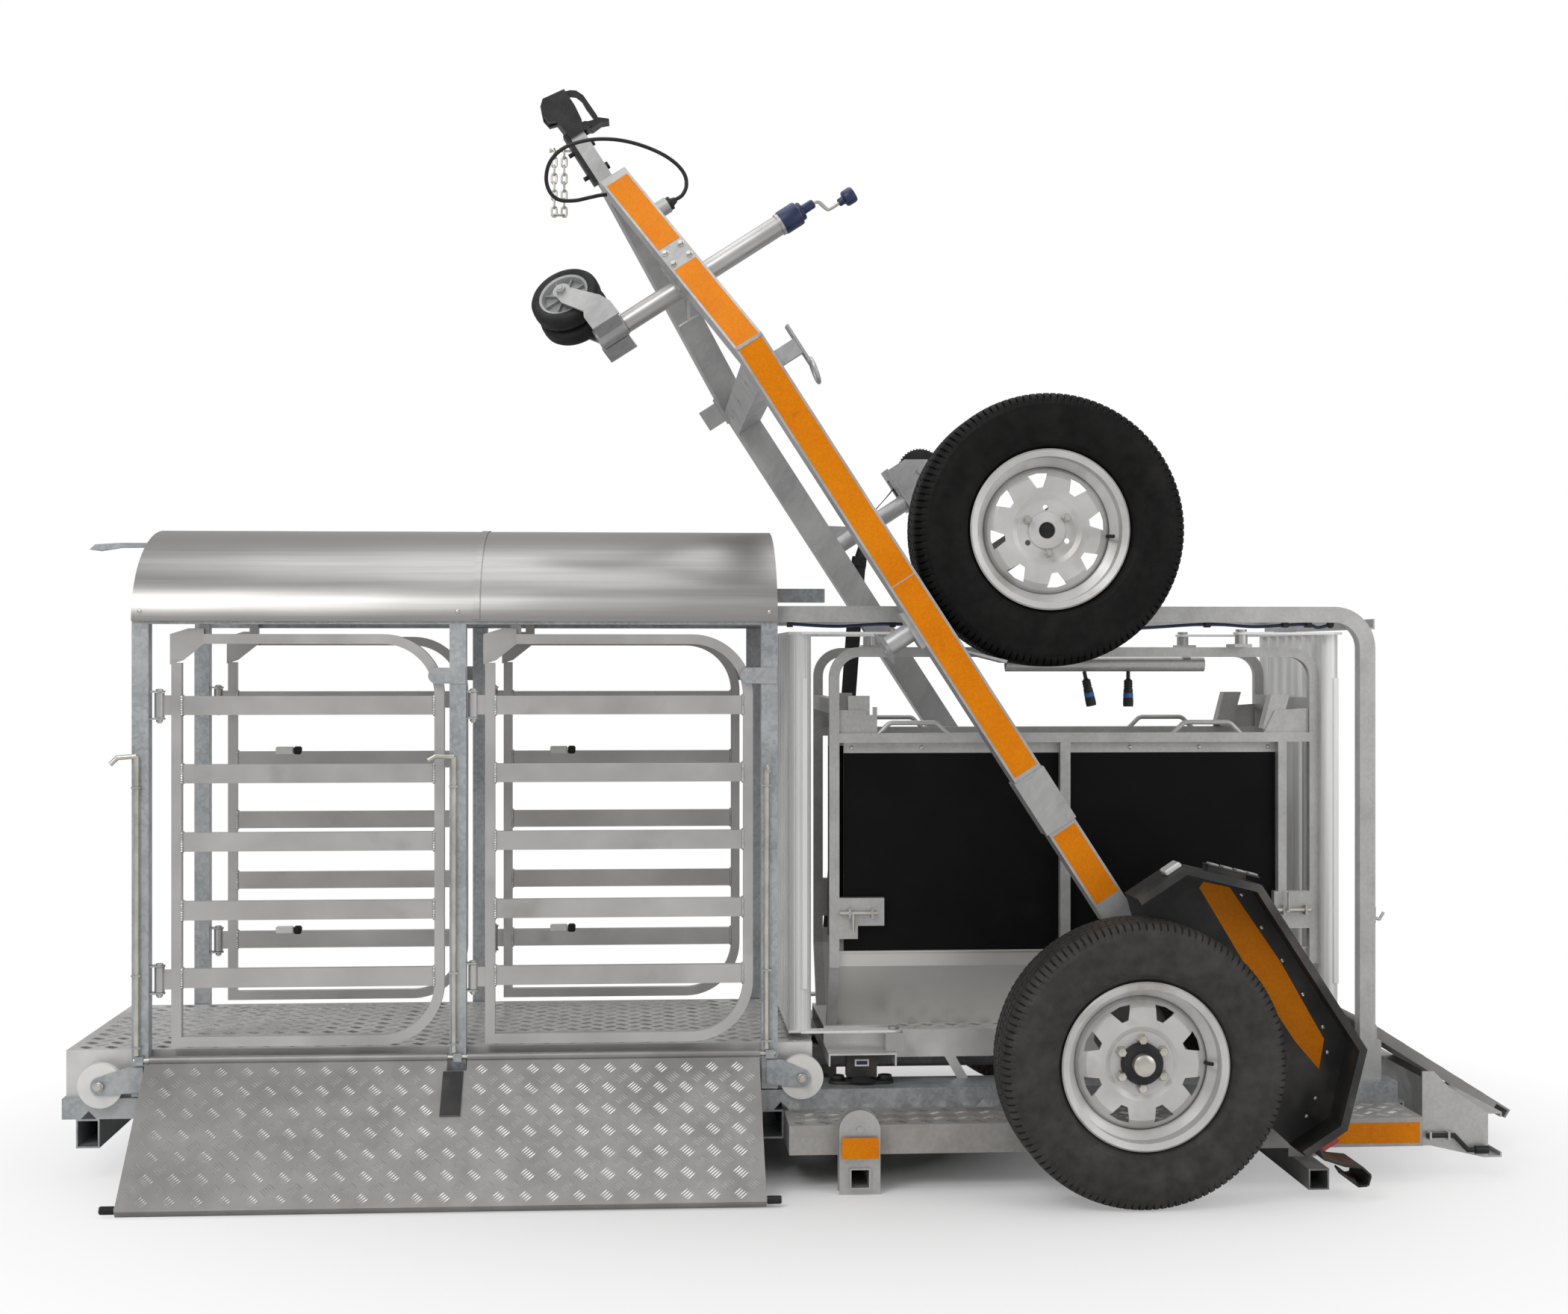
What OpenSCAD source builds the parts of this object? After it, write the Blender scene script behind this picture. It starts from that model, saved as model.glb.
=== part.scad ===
// Mobile sheep drafting crate: a weigh crate and a two-gate drafting bay on one base,
// with a wheeled carriage whose drawbar stands raised while the crate works on the ground.
// Millimetres. +X runs from the drafting bay to the entry ramp, +Y away from the near side,
// +Z up. The origin is on the ground under the middle of the machine.

/* [Drafting bay] */
// Distance between neighbouring posts
bay = 762; // [720:1:790]
// Half the distance between the near and far post centres
bay_half = 372; // [366:1:384]
// Side of the square post tube
post_w = 40; // [34:1:44]
// Middle of the right-hand posts
join_x = -113; // [-120:1:-108]
// Lower edge of the canopy above the ground
canopy_z = 1362; // [1350:1:1400]
// Rise of the canopy from its lower edge to its crest
canopy_rise = 240; // [200:1:280]
// Length of the canopy beyond each end post
canopy_over = 20; // [10:1:40]
// Height of a gate rail
gate_rail_h = 46; // [36:1:54]
// Width of the tube round a gate
gate_tube = 24; // [20:1:28]
// Bend radius of the free corners of a gate
gate_bend = 150; // [110:1:180]
// Radius of a gate hinge pin
pin_r = 5; // [4:0.5:6]
// Length of a side ramp down its slope
ramp_len = 432; // [380:1:436]
// Slope of a side ramp at rest, in degrees
ramp_slope = 41; // [38:1:41]
// Radius of the nylon rollers over their flange
roller_r = 54; // [48:1:56]

/* [Base] */
// Bottom of the crossbeams above the ground
chassis_z = 85; // [75:1:95]
// Height of the crossbeams and side steps
chassis_h = 70; // [60:1:80]
// Height of the base rails
rail_h = 50; // [44:1:56]
// Width of a base rail
rail_w = 150; // [140:1:160]
// Height of the drafting floor above the rails
floor_h = 113; // [105:1:118]
// Reach of the side steps beyond the rails
step_w = 188; // [180:1:196]
// Side of the square cross tubes that stand on the ground
foot_tube = 50; // [44:1:54]
// Slope of the entry ramp at rest, in degrees
entry_slope = 32; // [29:1:32]
// Length of the entry ramp
entry_len = 432; // [420:1:450]

/* [Weigh crate] */
// Distance between the left and right crate legs
crate_len = 1235; // [1210:1:1250]
// Half the distance between the crate side frames
crate_half = 250; // [240:1:256]
// Top of the crate side frames above the ground
crate_top = 1300; // [1280:1:1310]
// Side of the crate frame tube
frame_w = 25; // [20:1:28]
// Half width of the crate at its floor
crate_foot = 145; // [130:1:160]
// Height at which the crate sides start to lean in
lean_z = 490; // [460:1:520]
// Distance from a door pivot to its row of bars
door_reach = 235; // [225:1:238]
// Spacing of the bars of a door
bar_pitch = 83; // [80:1:83]
// Top of the outer arches above the ground
arch_top = 1402; // [1396:1:1420]
// Side of the arch tube
arch_w = 40; // [34:1:44]

/* [Carriage] */
// Angle of the raised drawbar above the horizontal, in degrees
tilt = 57; // [57:1:60]
// Radius of the tyre
tyre_r = 333; // [325:1:336]
// Width of the tyre
tyre_w = 198; // [190:1:202]
// Radius of the rim at its flange
rim_r = 196; // [190:1:200]
// Middle of the tyre from the centre line
track_half = 734; // [730:1:745]
// Outer face of the drawbar beams from the centre line
beam_out = 590; // [584:1:598]
// Side of the drawbar beam tube
beam_w = 75; // [70:1:78]
// Underside of the beams above the axle, in the towing position
beam_z = 126; // [120:1:130]
// Distance from the axle to the bend of the beams
bend_x = 1890; // [1850:1:1930]
// Distance from the axle to the front end of the drawbar tube
nose_x = 2655; // [2640:1:2680]
// Radius of the jockey wheel tube
jockey_r = 26; // [24:1:30]
// Distance from the axle to the jockey tube
jockey_x = 2150; // [2130:1:2170]

/* [Hidden] */
$fn = 32;

fit = 0.1;                                  // clearance between a pin and its hole
gap = 0.3;                                  // clearance between faces that pass each other
galv = [0.66, 0.67, 0.68];
bright = [0.78, 0.78, 0.77];
black = [0.10, 0.10, 0.11];

// Levels, from the ground up
step_top = chassis_z + chassis_h;
rail_top = step_top + rail_h;
floor_top = rail_top + floor_h;

// Stations along the machine
post_x = [join_x - 2 * bay, join_x - bay, join_x];
floor_left = post_x[0] - 187;
floor_right = join_x + 109;
leg_left = join_x + 172;                    // middle of the left crate leg
leg_right = leg_left + crate_len;
axle_x = leg_left + 670;
axle_z = tyre_r;
rail_right = leg_right + 180;
rail_out = bay_half;                        // outer face of the base rails
step_out = rail_out + step_w;
step_left = join_x + 37;
step_right = rail_right - 4;
post_out = bay_half + post_w / 2;
post_in = bay_half - post_w / 2;

// Two mirror images across the centre plane
module pair() {
    children();
    mirror([0, 1, 0]) children();
}

// A block between two corners
module block(x0, x1, y0, y1, z0, z1) {
    translate([x0, y0, z0]) cube([x1 - x0, y1 - y0, z1 - z0]);
}

// A drawing of x and z, made solid from y0 to y1
module slab_xz(y0, y1) {
    translate([0, y1, 0]) rotate([90, 0, 0]) linear_extrude(y1 - y0) children();
}

// A drawing of y and z, made solid from x0 to x1
module slab_yz(x0, x1) {
    translate([x0, 0, 0]) rotate([90, 0, 90]) linear_extrude(x1 - x0) children();
}

// A round bar along y or x
module bar_y(x, z, r, y0, y1) {
    translate([x, y1, z]) rotate([90, 0, 0]) cylinder(r = r, h = y1 - y0);
}
module bar_x(y, z, r, x0, x1) {
    translate([x0, y, z]) rotate([0, 90, 0]) cylinder(r = r, h = x1 - x0);
}
module bar_z(x, y, r, z0, z1) {
    translate([x, y, z0]) cylinder(r = r, h = z1 - z0);
}

// A straight round bar between two points
module rod(a, b, r) {
    d = b - a;
    l = norm(d);
    translate(a) rotate([0, acos(d[2] / l), atan2(d[1], d[0])]) cylinder(r = r, h = l, $fn = 20);
}

// A chain of straight round bars with ball joints
module bent_rod(pts, r) {
    for (i = [0 : len(pts) - 2]) rod(pts[i], pts[i + 1], r);
    if (len(pts) > 2) for (i = [1 : len(pts) - 2]) translate(pts[i]) sphere(r = r + 0.3, $fn = 20);
}

// A flat outline with rounded right-hand corners, from its lower left corner
module round_right(w, h, r) {
    square([w - r, h]);
    translate([w - r - 0.01, r]) square([r + 0.01, h - 2 * r]);
    for (z = [r, h - r]) translate([w - r, z]) circle(r = r, $fn = 64);
}

// A flat outline with rounded upper corners, from its lower left corner
module round_top(w, h, r) {
    square([w, h - r]);
    translate([r, h - r - 0.01]) square([w - 2 * r, r + 0.01]);
    for (x = [r, w - r]) translate([x, h - r]) circle(r = r, $fn = 64);
}

/* Base */

notch_w = 40;
notch_h = 20;
web = 4;                                    // thickness of the folded base steel

module base_rails() {
    color(galv) pair() difference() {
        block(floor_left - 4, rail_right, -rail_out, -rail_out + rail_w, step_top, rail_top);
        block(floor_left - 5, rail_right + 1, -rail_out + web, -rail_out + rail_w - web,
              step_top - 1, rail_top - web);
        for (x = [post_x[0] - 127, join_x + 30, join_x + 533, join_x + 1040])
            translate([x, -rail_out - 1, step_top]) rotate([-90, 0, 0])
                linear_extrude(web + 2) polygon([[-notch_w / 2, 1], [notch_w / 2, 1], [0, -notch_h]]);
    }
}

beam_x = [floor_left + 30, post_x[1], join_x - 20, axle_x, rail_right - 40];
beam_len = 56;

module cross_beams() {
    color(galv) for (x = beam_x) difference() {
        block(x, x + beam_len, -rail_out, rail_out, chassis_z, step_top);
        block(x + web, x + beam_len - web, -rail_out - 1, rail_out + 1, chassis_z + web,
              step_top - web);
    }
}

module side_steps() {
    color(galv) pair() difference() {
        block(step_left, step_right, -step_out, -rail_out, chassis_z, step_top);
        block(step_left + web, step_right - web, -step_out + web, -rail_out + 1, chassis_z - 1,
              step_top - web);
    }
}

bracket_x = join_x + 202;
bracket_w = 98;
bracket_h = 200;
bracket_t = 6;
bracket_gap = 34;
bracket_in = step_out;                      // inner plate bears on the face of the step
bracket_out = step_out + 2 * bracket_t + bracket_gap;
bracket_hole_z = 154;
tube_z = 14;
foot_x = leg_right - 104;                   // right-hand cross tube

module bracket_plate() {
    difference() {
        translate([bracket_x - bracket_w / 2, 0]) round_top(bracket_w, bracket_h, bracket_w / 2 - 0.1);
        translate([bracket_x, bracket_hole_z]) circle(r = 8);
        translate([bracket_x - foot_tube / 2, tube_z]) square(foot_tube);
    }
}

module leg_brackets() {
    color(galv) {
        pair() {
            slab_xz(-bracket_in - bracket_t, -bracket_in) bracket_plate();
            slab_xz(-bracket_out, -bracket_out + bracket_t) bracket_plate();
            bar_y(bracket_x, bracket_hole_z, 8, -bracket_out - 4, -bracket_in);
            block(foot_x - 35, foot_x + 35, -step_out + 60, -step_out + 66, foot_tube, step_top - web);
            block(foot_x - 35, foot_x + 35, -rail_out - 20, -rail_out - 14, foot_tube, step_top - web);
        }
        difference() {
            block(bracket_x - foot_tube / 2, bracket_x + foot_tube / 2, -bracket_out - 8,
                  bracket_out + 8, tube_z, tube_z + foot_tube);
            block(bracket_x - foot_tube / 2 + web, bracket_x + foot_tube / 2 - web,
                  -bracket_out - 9, bracket_out + 9, tube_z + web, tube_z + foot_tube - web);
        }
        difference() {
            block(foot_x - foot_tube / 2, foot_x + foot_tube / 2, -step_out - 70, step_out + 70, 0,
                  foot_tube);
            block(foot_x - foot_tube / 2 + web, foot_x + foot_tube / 2 - web, -step_out - 71,
                  step_out + 71, web, foot_tube - web);
        }
    }
}

// Entry end: two side plates and the cross rail that the ramp lies on
end_rail_x = step_right + 160;
entry_x = rail_right - 18;
entry_z = rail_top + 111;
end_rail_h = entry_z - (end_rail_x + 38 - entry_x) * tan(entry_slope) - 16 / cos(entry_slope) - gap;
end_rail_z = end_rail_h - 110;
plate_y = step_out - 10;

module entry_plate() {
    polygon([[step_right, chassis_z], [step_right, step_top + 110], [step_right + 30, step_top + 110],
             [step_right + 66, step_top + 72], [end_rail_x, end_rail_h],
             [end_rail_x, end_rail_z], [end_rail_x - 6, end_rail_z], [step_right + 20, chassis_z]]);
}

module entry_frame() {
    color(galv) {
        pair() slab_xz(-plate_y - 6, -plate_y) entry_plate();
        difference() {
            block(end_rail_x, end_rail_x + 38, -plate_y - 6, plate_y + 6, end_rail_z, end_rail_h);
            block(end_rail_x + web, end_rail_x + 39, -plate_y - 7, plate_y + 7, end_rail_z + 12,
                  end_rail_h - 12);
            block(end_rail_x + web, end_rail_x + 34, -plate_y - 7, plate_y + 7, end_rail_z + web,
                  end_rail_h - web);
        }
        // bearings of the lever
        for (x = [lever_x - 24, lever_x + 22]) difference() {
            block(x, x + 5, -lever_y - 10, -plate_y - 6, lever_z - 10, lever_z + 10);
            bar_x(-lever_y, lever_z, 6 + fit, x - 1, x + 6);
        }
    }
}

floor_half = bay_half - 27;

module draft_floor() {
    color(bright) difference() {
        block(floor_left, floor_right, -floor_half, floor_half, rail_top, floor_top);
        block(floor_left + web, floor_right - web, -floor_half + web, floor_half - web, rail_top - 1,
              floor_top - web);
    }
}

/* Weigh crate */

cell_y = rail_out - rail_w / 2;
cell_h = 77;
cell_foot_h = 18;
cell_x = [leg_left + 64, leg_right - 64];
bracket_top = entry_z + 14;                 // top of the channels that the crate stands on
channel_w = 170;
channel_y = bay_half - 30;

module load_cells() {
    color(black) for (x = cell_x) pair() {
        block(x - 55, x + 55, -cell_y - 26, -cell_y + 26, rail_top, rail_top + 8);
        for (s = [-1, 1]) bar_z(x + s * 55, -cell_y, 26, rail_top, rail_top + 8);
        for (s = [-1, 1]) bar_z(x + s * 60, -cell_y, 17, rail_top + 8, rail_top + cell_foot_h + 2);
        translate([x, -cell_y, rail_top + 8]) cylinder(r1 = 42, r2 = 27, h = cell_foot_h - 8);
        block(x - 38, x + 38, -cell_y - 20, -cell_y + 20, rail_top + cell_foot_h, rail_top + cell_h);
    }
}

module crate_floor() {
    color(galv) {
        for (x = cell_x) difference() {
            block(x - channel_w / 2, x + channel_w / 2, -channel_y, channel_y, rail_top + cell_h - 27,
                  bracket_top);
            block(x - channel_w / 2 + web, x + channel_w / 2 - web, -channel_y - 1, channel_y + 1,
                  rail_top + cell_h - 28, rail_top + cell_h);
            block(x - channel_w / 2 - 1, x + channel_w / 2 + 1, -channel_y - 1, channel_y + 1,
                  rail_top + cell_h + web, bracket_top + 1);
        }
        // tray between the two channels
        difference() {
            block(cell_x[0] + channel_w / 2, cell_x[1] - channel_w / 2, -crate_half, crate_half,
                  rail_top + cell_h - 22, bracket_top);
            block(cell_x[0] + channel_w / 2 - 1, cell_x[1] - channel_w / 2 + 1, -crate_half + web,
                  crate_half - web, rail_top + cell_h - 23, bracket_top - web);
        }
        // decks over the channels
        for (x = cell_x) difference() {
            block(x - channel_w / 2, x + channel_w / 2, -crate_foot - 40, crate_foot + 40,
                  rail_top + cell_h + web, bracket_top);
            block(x - channel_w / 2 - 1, x + channel_w / 2 + 1, -crate_foot - 36, crate_foot + 36,
                  rail_top + cell_h + web - 1, bracket_top - web);
        }
        // diagonal stay between the floor tray and the rail
        pair() slab_xz(-crate_half, -crate_half + web)
            polygon([[cell_x[0] + 205, rail_top + cell_h + 1], [cell_x[0] + 233, rail_top + cell_h + 1],
                     [cell_x[0] + 278, rail_top], [cell_x[0] + 250, rail_top]]);
    }
}

frame_out = crate_half + frame_w / 2;       // outer face of a side frame
frame_in = crate_half - frame_w / 2;
frame_bend = 78;
bar2_z = 1058;                              // underside of the second bar
panel_top = bar2_z - 27;
sheet_top = lean_z + 39;
split_x = leg_left + 577;
panel_right = leg_right - 94;

// Leaning foot of a leg or sheet, drawn in y and z
function lean(t) = [[-frame_in, lean_z], [-frame_in - t, lean_z], [-crate_foot - t, bracket_top],
                    [-crate_foot, bracket_top]];

module crate_frames() {
    w = crate_len + frame_w;
    h = crate_top - lean_z;
    color(galv) {
        pair() {
            slab_xz(-frame_out, -frame_in) {
                difference() {
                    translate([leg_left - frame_w / 2, lean_z]) round_top(w, h, frame_bend);
                    translate([leg_left + frame_w / 2, lean_z - 1])
                        round_top(w - 2 * frame_w, h - frame_w + 1, frame_bend - frame_w);
                }
                translate([leg_left, bar2_z]) square([crate_len, 24]);
                translate([split_x, sheet_top]) square([26, bar2_z - sheet_top]);
                // latch plates
                translate([leg_left + frame_w / 2 - 1, lean_z + 105]) square([115, 70]);
                translate([leg_left + frame_w / 2 - 1, lean_z + 72]) square([48, 34]);
                translate([leg_right - frame_w / 2 - 92, lean_z + 90]) square([93, 95]);
            }
            for (x = [leg_left, leg_right])
                slab_yz(x - frame_w / 2, x + frame_w / 2) polygon(lean(frame_w));
            // screw strip over the panels and the post at their right-hand end
            block(leg_left + 26, panel_right, -frame_in + 0.5, -frame_in + 9, panel_top, bar2_z);
            block(leg_left + 26, panel_right, -frame_in - 1, -frame_in + 1, bar2_z - 6, bar2_z);
            block(panel_right, panel_right + 22, -frame_out, -frame_in, sheet_top, bar2_z);
        }
        // cross ties at the top of both ends
        for (x = [leg_left, leg_right])
            block(x - frame_w / 2, x + frame_w / 2 - 0.5, -frame_in, frame_in, crate_top - 168,
                  crate_top - 130);
        // round conduit below the near top bar
        difference() {
            bar_x(-frame_in + 12, crate_top - frame_w - 19, 18, leg_left + 442, leg_left + 956);
            bar_x(-frame_in + 12, crate_top - frame_w - 19, 15, leg_left + 441, leg_left + 957);
        }
        for (x = [leg_left + 500, leg_left + 900])
            block(x, x + 20, -frame_in - 1, -frame_in + 12, crate_top - frame_w - 3, crate_top - frame_w + 9);
    }
}

module side_panels() {
    color(black) pair() {
        block(leg_left + 26, split_x + 12, -frame_in + 0.5, -frame_in + 8, sheet_top - 20, panel_top);
        block(split_x + 13, panel_right, -frame_in + 0.5, -frame_in + 8, sheet_top - 20, panel_top);
    }
}

module lower_sheets() {
    color(galv) pair() slab_yz(leg_left + frame_w / 2, leg_right - frame_w / 2)
        polygon([[-frame_in - 8, sheet_top], [-frame_in, sheet_top], [-frame_in, lean_z],
                 [-crate_foot - 3, bracket_top], [-crate_foot - 7, bracket_top],
                 [-frame_in - 4, lean_z], [-frame_in - 4, sheet_top - 4], [-frame_in - 8, sheet_top - 4]]);
}

// Hook plates that take the lifting gear, and bent rod handles
hook_h = 58;
handle_r = 6;

// A bent rod handle of given length and rise, its legs leaning in at 45 degrees
module staple(len, rise) {
    elbow = 20;
    leg = rise - elbow * (1 - cos(45));
    for (m = [0, 1]) translate([m * len, 0, 0]) mirror([m, 0, 0]) {
        rotate([0, 45, 0]) cylinder(r = handle_r, h = leg / sin(45), $fn = 20);
        translate([leg + elbow * sin(45), 0, rise - elbow]) rotate([90, 0, 0]) rotate([0, 0, 90])
            rotate_extrude(angle = 45, $fn = 64) translate([elbow, 0]) circle(r = handle_r, $fn = 20);
    }
    translate([leg + elbow * sin(45), 0, rise]) rotate([0, 90, 0])
        cylinder(r = handle_r, h = len - 2 * (leg + elbow * sin(45)), $fn = 20);
}

module lift_hooks() {
    z = bar2_z + 24;
    color(galv) pair() {
        // left hook plate with its upturned nose
        slab_xz(-crate_half - 3, -crate_half + 3)
            translate([leg_left + frame_w / 2, z]) {
                square([97, hook_h - 12]);
                translate([86, 0]) square([11, hook_h + 8]);
                square([70, hook_h]);
            }
        // box lug above and behind it
        difference() {
            block(leg_left + 36, leg_left + 91, -crate_half + 2, -crate_half + 43, z + 4, z + 94);
            block(leg_left + 41, leg_left + 86, -crate_half + 3, -crate_half + 38, z + 3, z + 89);
        }
        // right-hand plate and its leaning lug
        slab_xz(-crate_half - 3, -crate_half + 3)
            polygon([[leg_right - 13, z], [leg_right - 13, z + 62], [leg_right - 100, z + 56],
                     [leg_right - 128, z]]);
        slab_xz(-crate_half + 2, -crate_half + 43)
            polygon([[leg_right - 112, z], [leg_right - 86, z], [leg_right - 60, z + 96],
                     [leg_right - 108, z + 96], [leg_right - 130, z + 10]]);
        // rod handles
        for (x = [leg_left + 114, leg_left + 871])
            difference() {
                translate([x - 6, -crate_half, z - 8]) staple(187, 34);
                block(x - 20, x + 200, -crate_half - 8, -crate_half + 8, z - 16, z);
            }
    }
}

arch_y = rail_out - rail_w / 2 + 21;        // middle of an arch
arch_bend = 105;
arch_right = leg_right + 134;
arch_left = join_x - 180;
shoe_h = 98;

module outer_arches() {
    color(galv) {
        pair() {
            slab_xz(-arch_y - arch_w / 2, -arch_y + arch_w / 2) {
                translate([arch_left, arch_top - arch_w])
                    square([arch_right - arch_bend - arch_left, arch_w]);
                translate([arch_right - arch_w, rail_top + shoe_h])
                    square([arch_w, arch_top - arch_bend - rail_top - shoe_h]);
                translate([arch_right - arch_bend, arch_top - arch_bend]) intersection() {
                    difference() {
                        circle(r = arch_bend, $fn = 96);
                        circle(r = arch_bend - arch_w, $fn = 96);
                    }
                    square(arch_bend);
                }
            }
            block(arch_right - arch_w - 20, arch_right + 14, -arch_y - 24, -arch_y + 24,
                  rail_top, rail_top + shoe_h);
            // small hook on the leg
            block(arch_right, arch_right + 4, -arch_y - 12, -arch_y + 12, 600, 640);
            rod([arch_right + 3, -arch_y, 612], [arch_right + 18, -arch_y, 608], 4);
            rod([arch_right + 17, -arch_y, 607], [arch_right + 28, -arch_y, 626], 3.8);
        }
        // tray between the arches
        difference() {
            block(arch_right - 101, arch_right + 12, -arch_y + arch_w / 2, arch_y - arch_w / 2,
                  door_z1 + arm_t + 8, arch_top - 12);
            block(arch_right - 97, arch_right + 8, -arch_y, arch_y, door_z1 + arm_t + 12, arch_top);
            block(arch_right - 10, arch_right + 13, -arch_y, arch_y, arch_top - 30, arch_top);
        }
    }
}

// Blue load-cell cable, clipped under the near rail, in round points
cable_r = 4;
cable_y = -arch_y;
cable_pts = [[-60, 0], [60, -6], [200, 0], [420, -10], [640, -14], [820, -10], [1000, 0],
             [1120, -6], [1200, -2], [1260, 0], [1284, -8], [1306, -4], [1318, 0]];

module sensor_cable() {
    z = arch_top - arch_w - cable_r - gap;
    color([0.08, 0.14, 0.35])
        tube3([for (p = cable_pts) [p[0], cable_y, z + p[1]]], cable_r, 8);
    // two plugs that hang from the conduit
    y = -frame_in + 12;
    zc = crate_top - frame_w - 37;
    color(black) for (p = [[leg_left + 646, 12], [leg_left + 760, 0]])
        translate([p[0], y, zc]) rotate([0, -p[1], 0]) {
            translate([0, 0, -22]) cylinder(r = 5, h = 21.7 - 5.3 * sin(p[1]));
            translate([0, 0, -46]) cylinder(r = 8, h = 24);
            translate([0, 0, -66]) cylinder(r = 9.5, h = 20);
            translate([0, 0, -88]) cylinder(r = 10.5, h = 22);
        }
}

/* Doors of the weigh crate */

door_piv_y = crate_half + 50;
exit_piv = leg_left + 146;
entry_piv = leg_right - 201;
door_z0 = floor_top + 16;                   // underside of the lower arm
arm_t = 6;
door_z1 = crate_top + 32;                   // underside of the upper arm
door_pin = 9;

module door_pivots() {
    color(bright) pair() for (x = [exit_piv, entry_piv]) {
        // lower plate and pin
        difference() {
            block(x - 22, x + 22, -door_piv_y - 22, -crate_half - gap, rail_top + cell_h + web + gap,
                  door_z0 - 0.5);
            block(x - 16, x + 16, -door_piv_y - 16, -crate_half + 1, rail_top + cell_h, door_z0 - 6.5);
        }
        bar_z(x, -door_piv_y, door_pin, door_z0 - 0.5, door_z0 + arm_t + 1);
        bar_z(x, -door_piv_y, 14, door_z0 + arm_t + 1, door_z0 + arm_t + 7);
        // upper bracket and pin
        block(x - 22, x + 22, -door_piv_y - 22, -frame_in, crate_top, crate_top + 8);
        bar_z(x, -door_piv_y, 16, crate_top + 8, door_z1 - 0.5);
        bar_z(x, -door_piv_y, door_pin, door_z1 - 0.5, door_z1 + arm_t + 1);
        bar_z(x, -door_piv_y, 14, door_z1 + arm_t + 1, door_z1 + arm_t + 7);
    }
}

bar_y0 = door_piv_y - 20;                   // first bar from the centre plane
door_bars = 4;

// One half door, drawn for the near side; side is -1 where its bars are left of the pivot
module half_door(piv, side, bar_r, ribbed) {
    bx = piv + side * door_reach;
    for (z = [door_z0, door_z1]) difference() {
        union() {
            block(bx - (side > 0 ? bar_r + 0.8 : 30), bx + (side > 0 ? bar_r + 4 : 30), -bar_y0 - 28,
                  -bar_y0 + (door_bars - 1) * bar_pitch + 28, z, z + arm_t);
            block(min(bx, piv), max(bx, piv), -door_piv_y - 20, -door_piv_y + 20, z, z + arm_t);
            bar_z(piv, -door_piv_y, 20, z, z + arm_t);
        }
        bar_z(piv, -door_piv_y, door_pin + fit, z - 1, z + arm_t + 1);
    }
    for (i = [0 : door_bars - 1]) difference() {
        translate([bx, -bar_y0 + i * bar_pitch, door_z0 + arm_t])
            cylinder(r = bar_r, h = door_z1 - door_z0 - arm_t, $fn = 48);
        if (ribbed) for (a = [60 : 30 : 300])
            translate([bx, -bar_y0 + i * bar_pitch, door_z0]) rotate([0, 0, a])
                translate([bar_r, 0, 0]) cylinder(r = 2.5, h = 1200, $fn = 14);
    }
    // stiffening strip down the outermost bar
    block(bx + 4, bx + 16, -bar_y0 - bar_r - 5, -bar_y0 - bar_r + 4, door_z0 + 110, door_z1 - 110);
}

module exit_door_near() color(bright) half_door(exit_piv, -1, 28, true);
module exit_door_far() color(bright) mirror([0, 1, 0]) half_door(exit_piv, -1, 28, true);
module entry_door_near() color(bright) half_door(entry_piv, 1, 20, false);
module entry_door_far() color(bright) mirror([0, 1, 0]) half_door(entry_piv, 1, 20, false);

/* Latches of the crate sides */

bolt_r = 5;
module slide_bolt(x, z, side) {
    y = -frame_out - 9;
    color(bright) {
        bar_x(y, z, bolt_r, x - 34, x + 62);
        rod([x, y, z], [x, y - 14, z], bolt_r);
        rod([x, y - 14, z], [x, y - 14, z - side * 46], 4);
    }
}
module bolt_keeper(x, z) {
    y = -frame_out - 9;
    color(bright) for (dx = [-11.3, 46]) difference() {
        block(x + dx, x + dx + 6, y - 9, -frame_out, z - 12, z + 12);
        bar_x(y, z, bolt_r + fit, x + dx - 1, x + dx + 7);
    }
}
bolt_z = lean_z + 138;
module slide_bolt_left() slide_bolt(leg_left + 46, bolt_z, 1);
module slide_bolt_right() slide_bolt(leg_right - 74, bolt_z, -1);

/* Entry ramp */

entry_half = crate_half - 35;
entry_t = 5;
hinge_tube = 11;
hinge_rod = 7;

module entry_ramp() {
    color(bright) translate([entry_x, 0, entry_z]) rotate([0, entry_slope, 0]) {
        difference() {
            union() {
                block(8, entry_len, -entry_half, entry_half, hinge_tube - entry_t, hinge_tube);
                block(8, entry_len - 40, -entry_half, -entry_half + 4, -16, hinge_tube);
                block(8, entry_len - 40, entry_half - 4, entry_half, -16, hinge_tube);
                block(entry_len - 5, entry_len, -entry_half, entry_half, -14, hinge_tube);
                bar_y(0, 0, hinge_tube, -entry_half, entry_half);
            }
            bar_y(0, 0, hinge_rod + fit, -entry_half - 1, entry_half + 1);
        }
    }
}

// Hinge rod and its two posts, part of the crate floor's right-hand end
module entry_hinge() {
    color(galv) {
        bar_y(entry_x, entry_z, hinge_rod, -entry_half - 14, entry_half + 14);
        pair() difference() {
            slab_xz(-entry_half - 14, -entry_half - 8) {
                translate([entry_x, entry_z]) circle(r = 14);
                translate([entry_x - 14, rail_top]) square([28, entry_z - rail_top]);
                translate([entry_x - 60, rail_top]) square([74, 8]);
            }
            bar_y(entry_x, entry_z, hinge_rod, -entry_half - 15, -entry_half - 7);
        }
        // sill under the ramp's top edge
        block(entry_x - 60, entry_x - 14, -entry_half - 14, entry_half + 14, rail_top, rail_top + web);
    }
}

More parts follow.
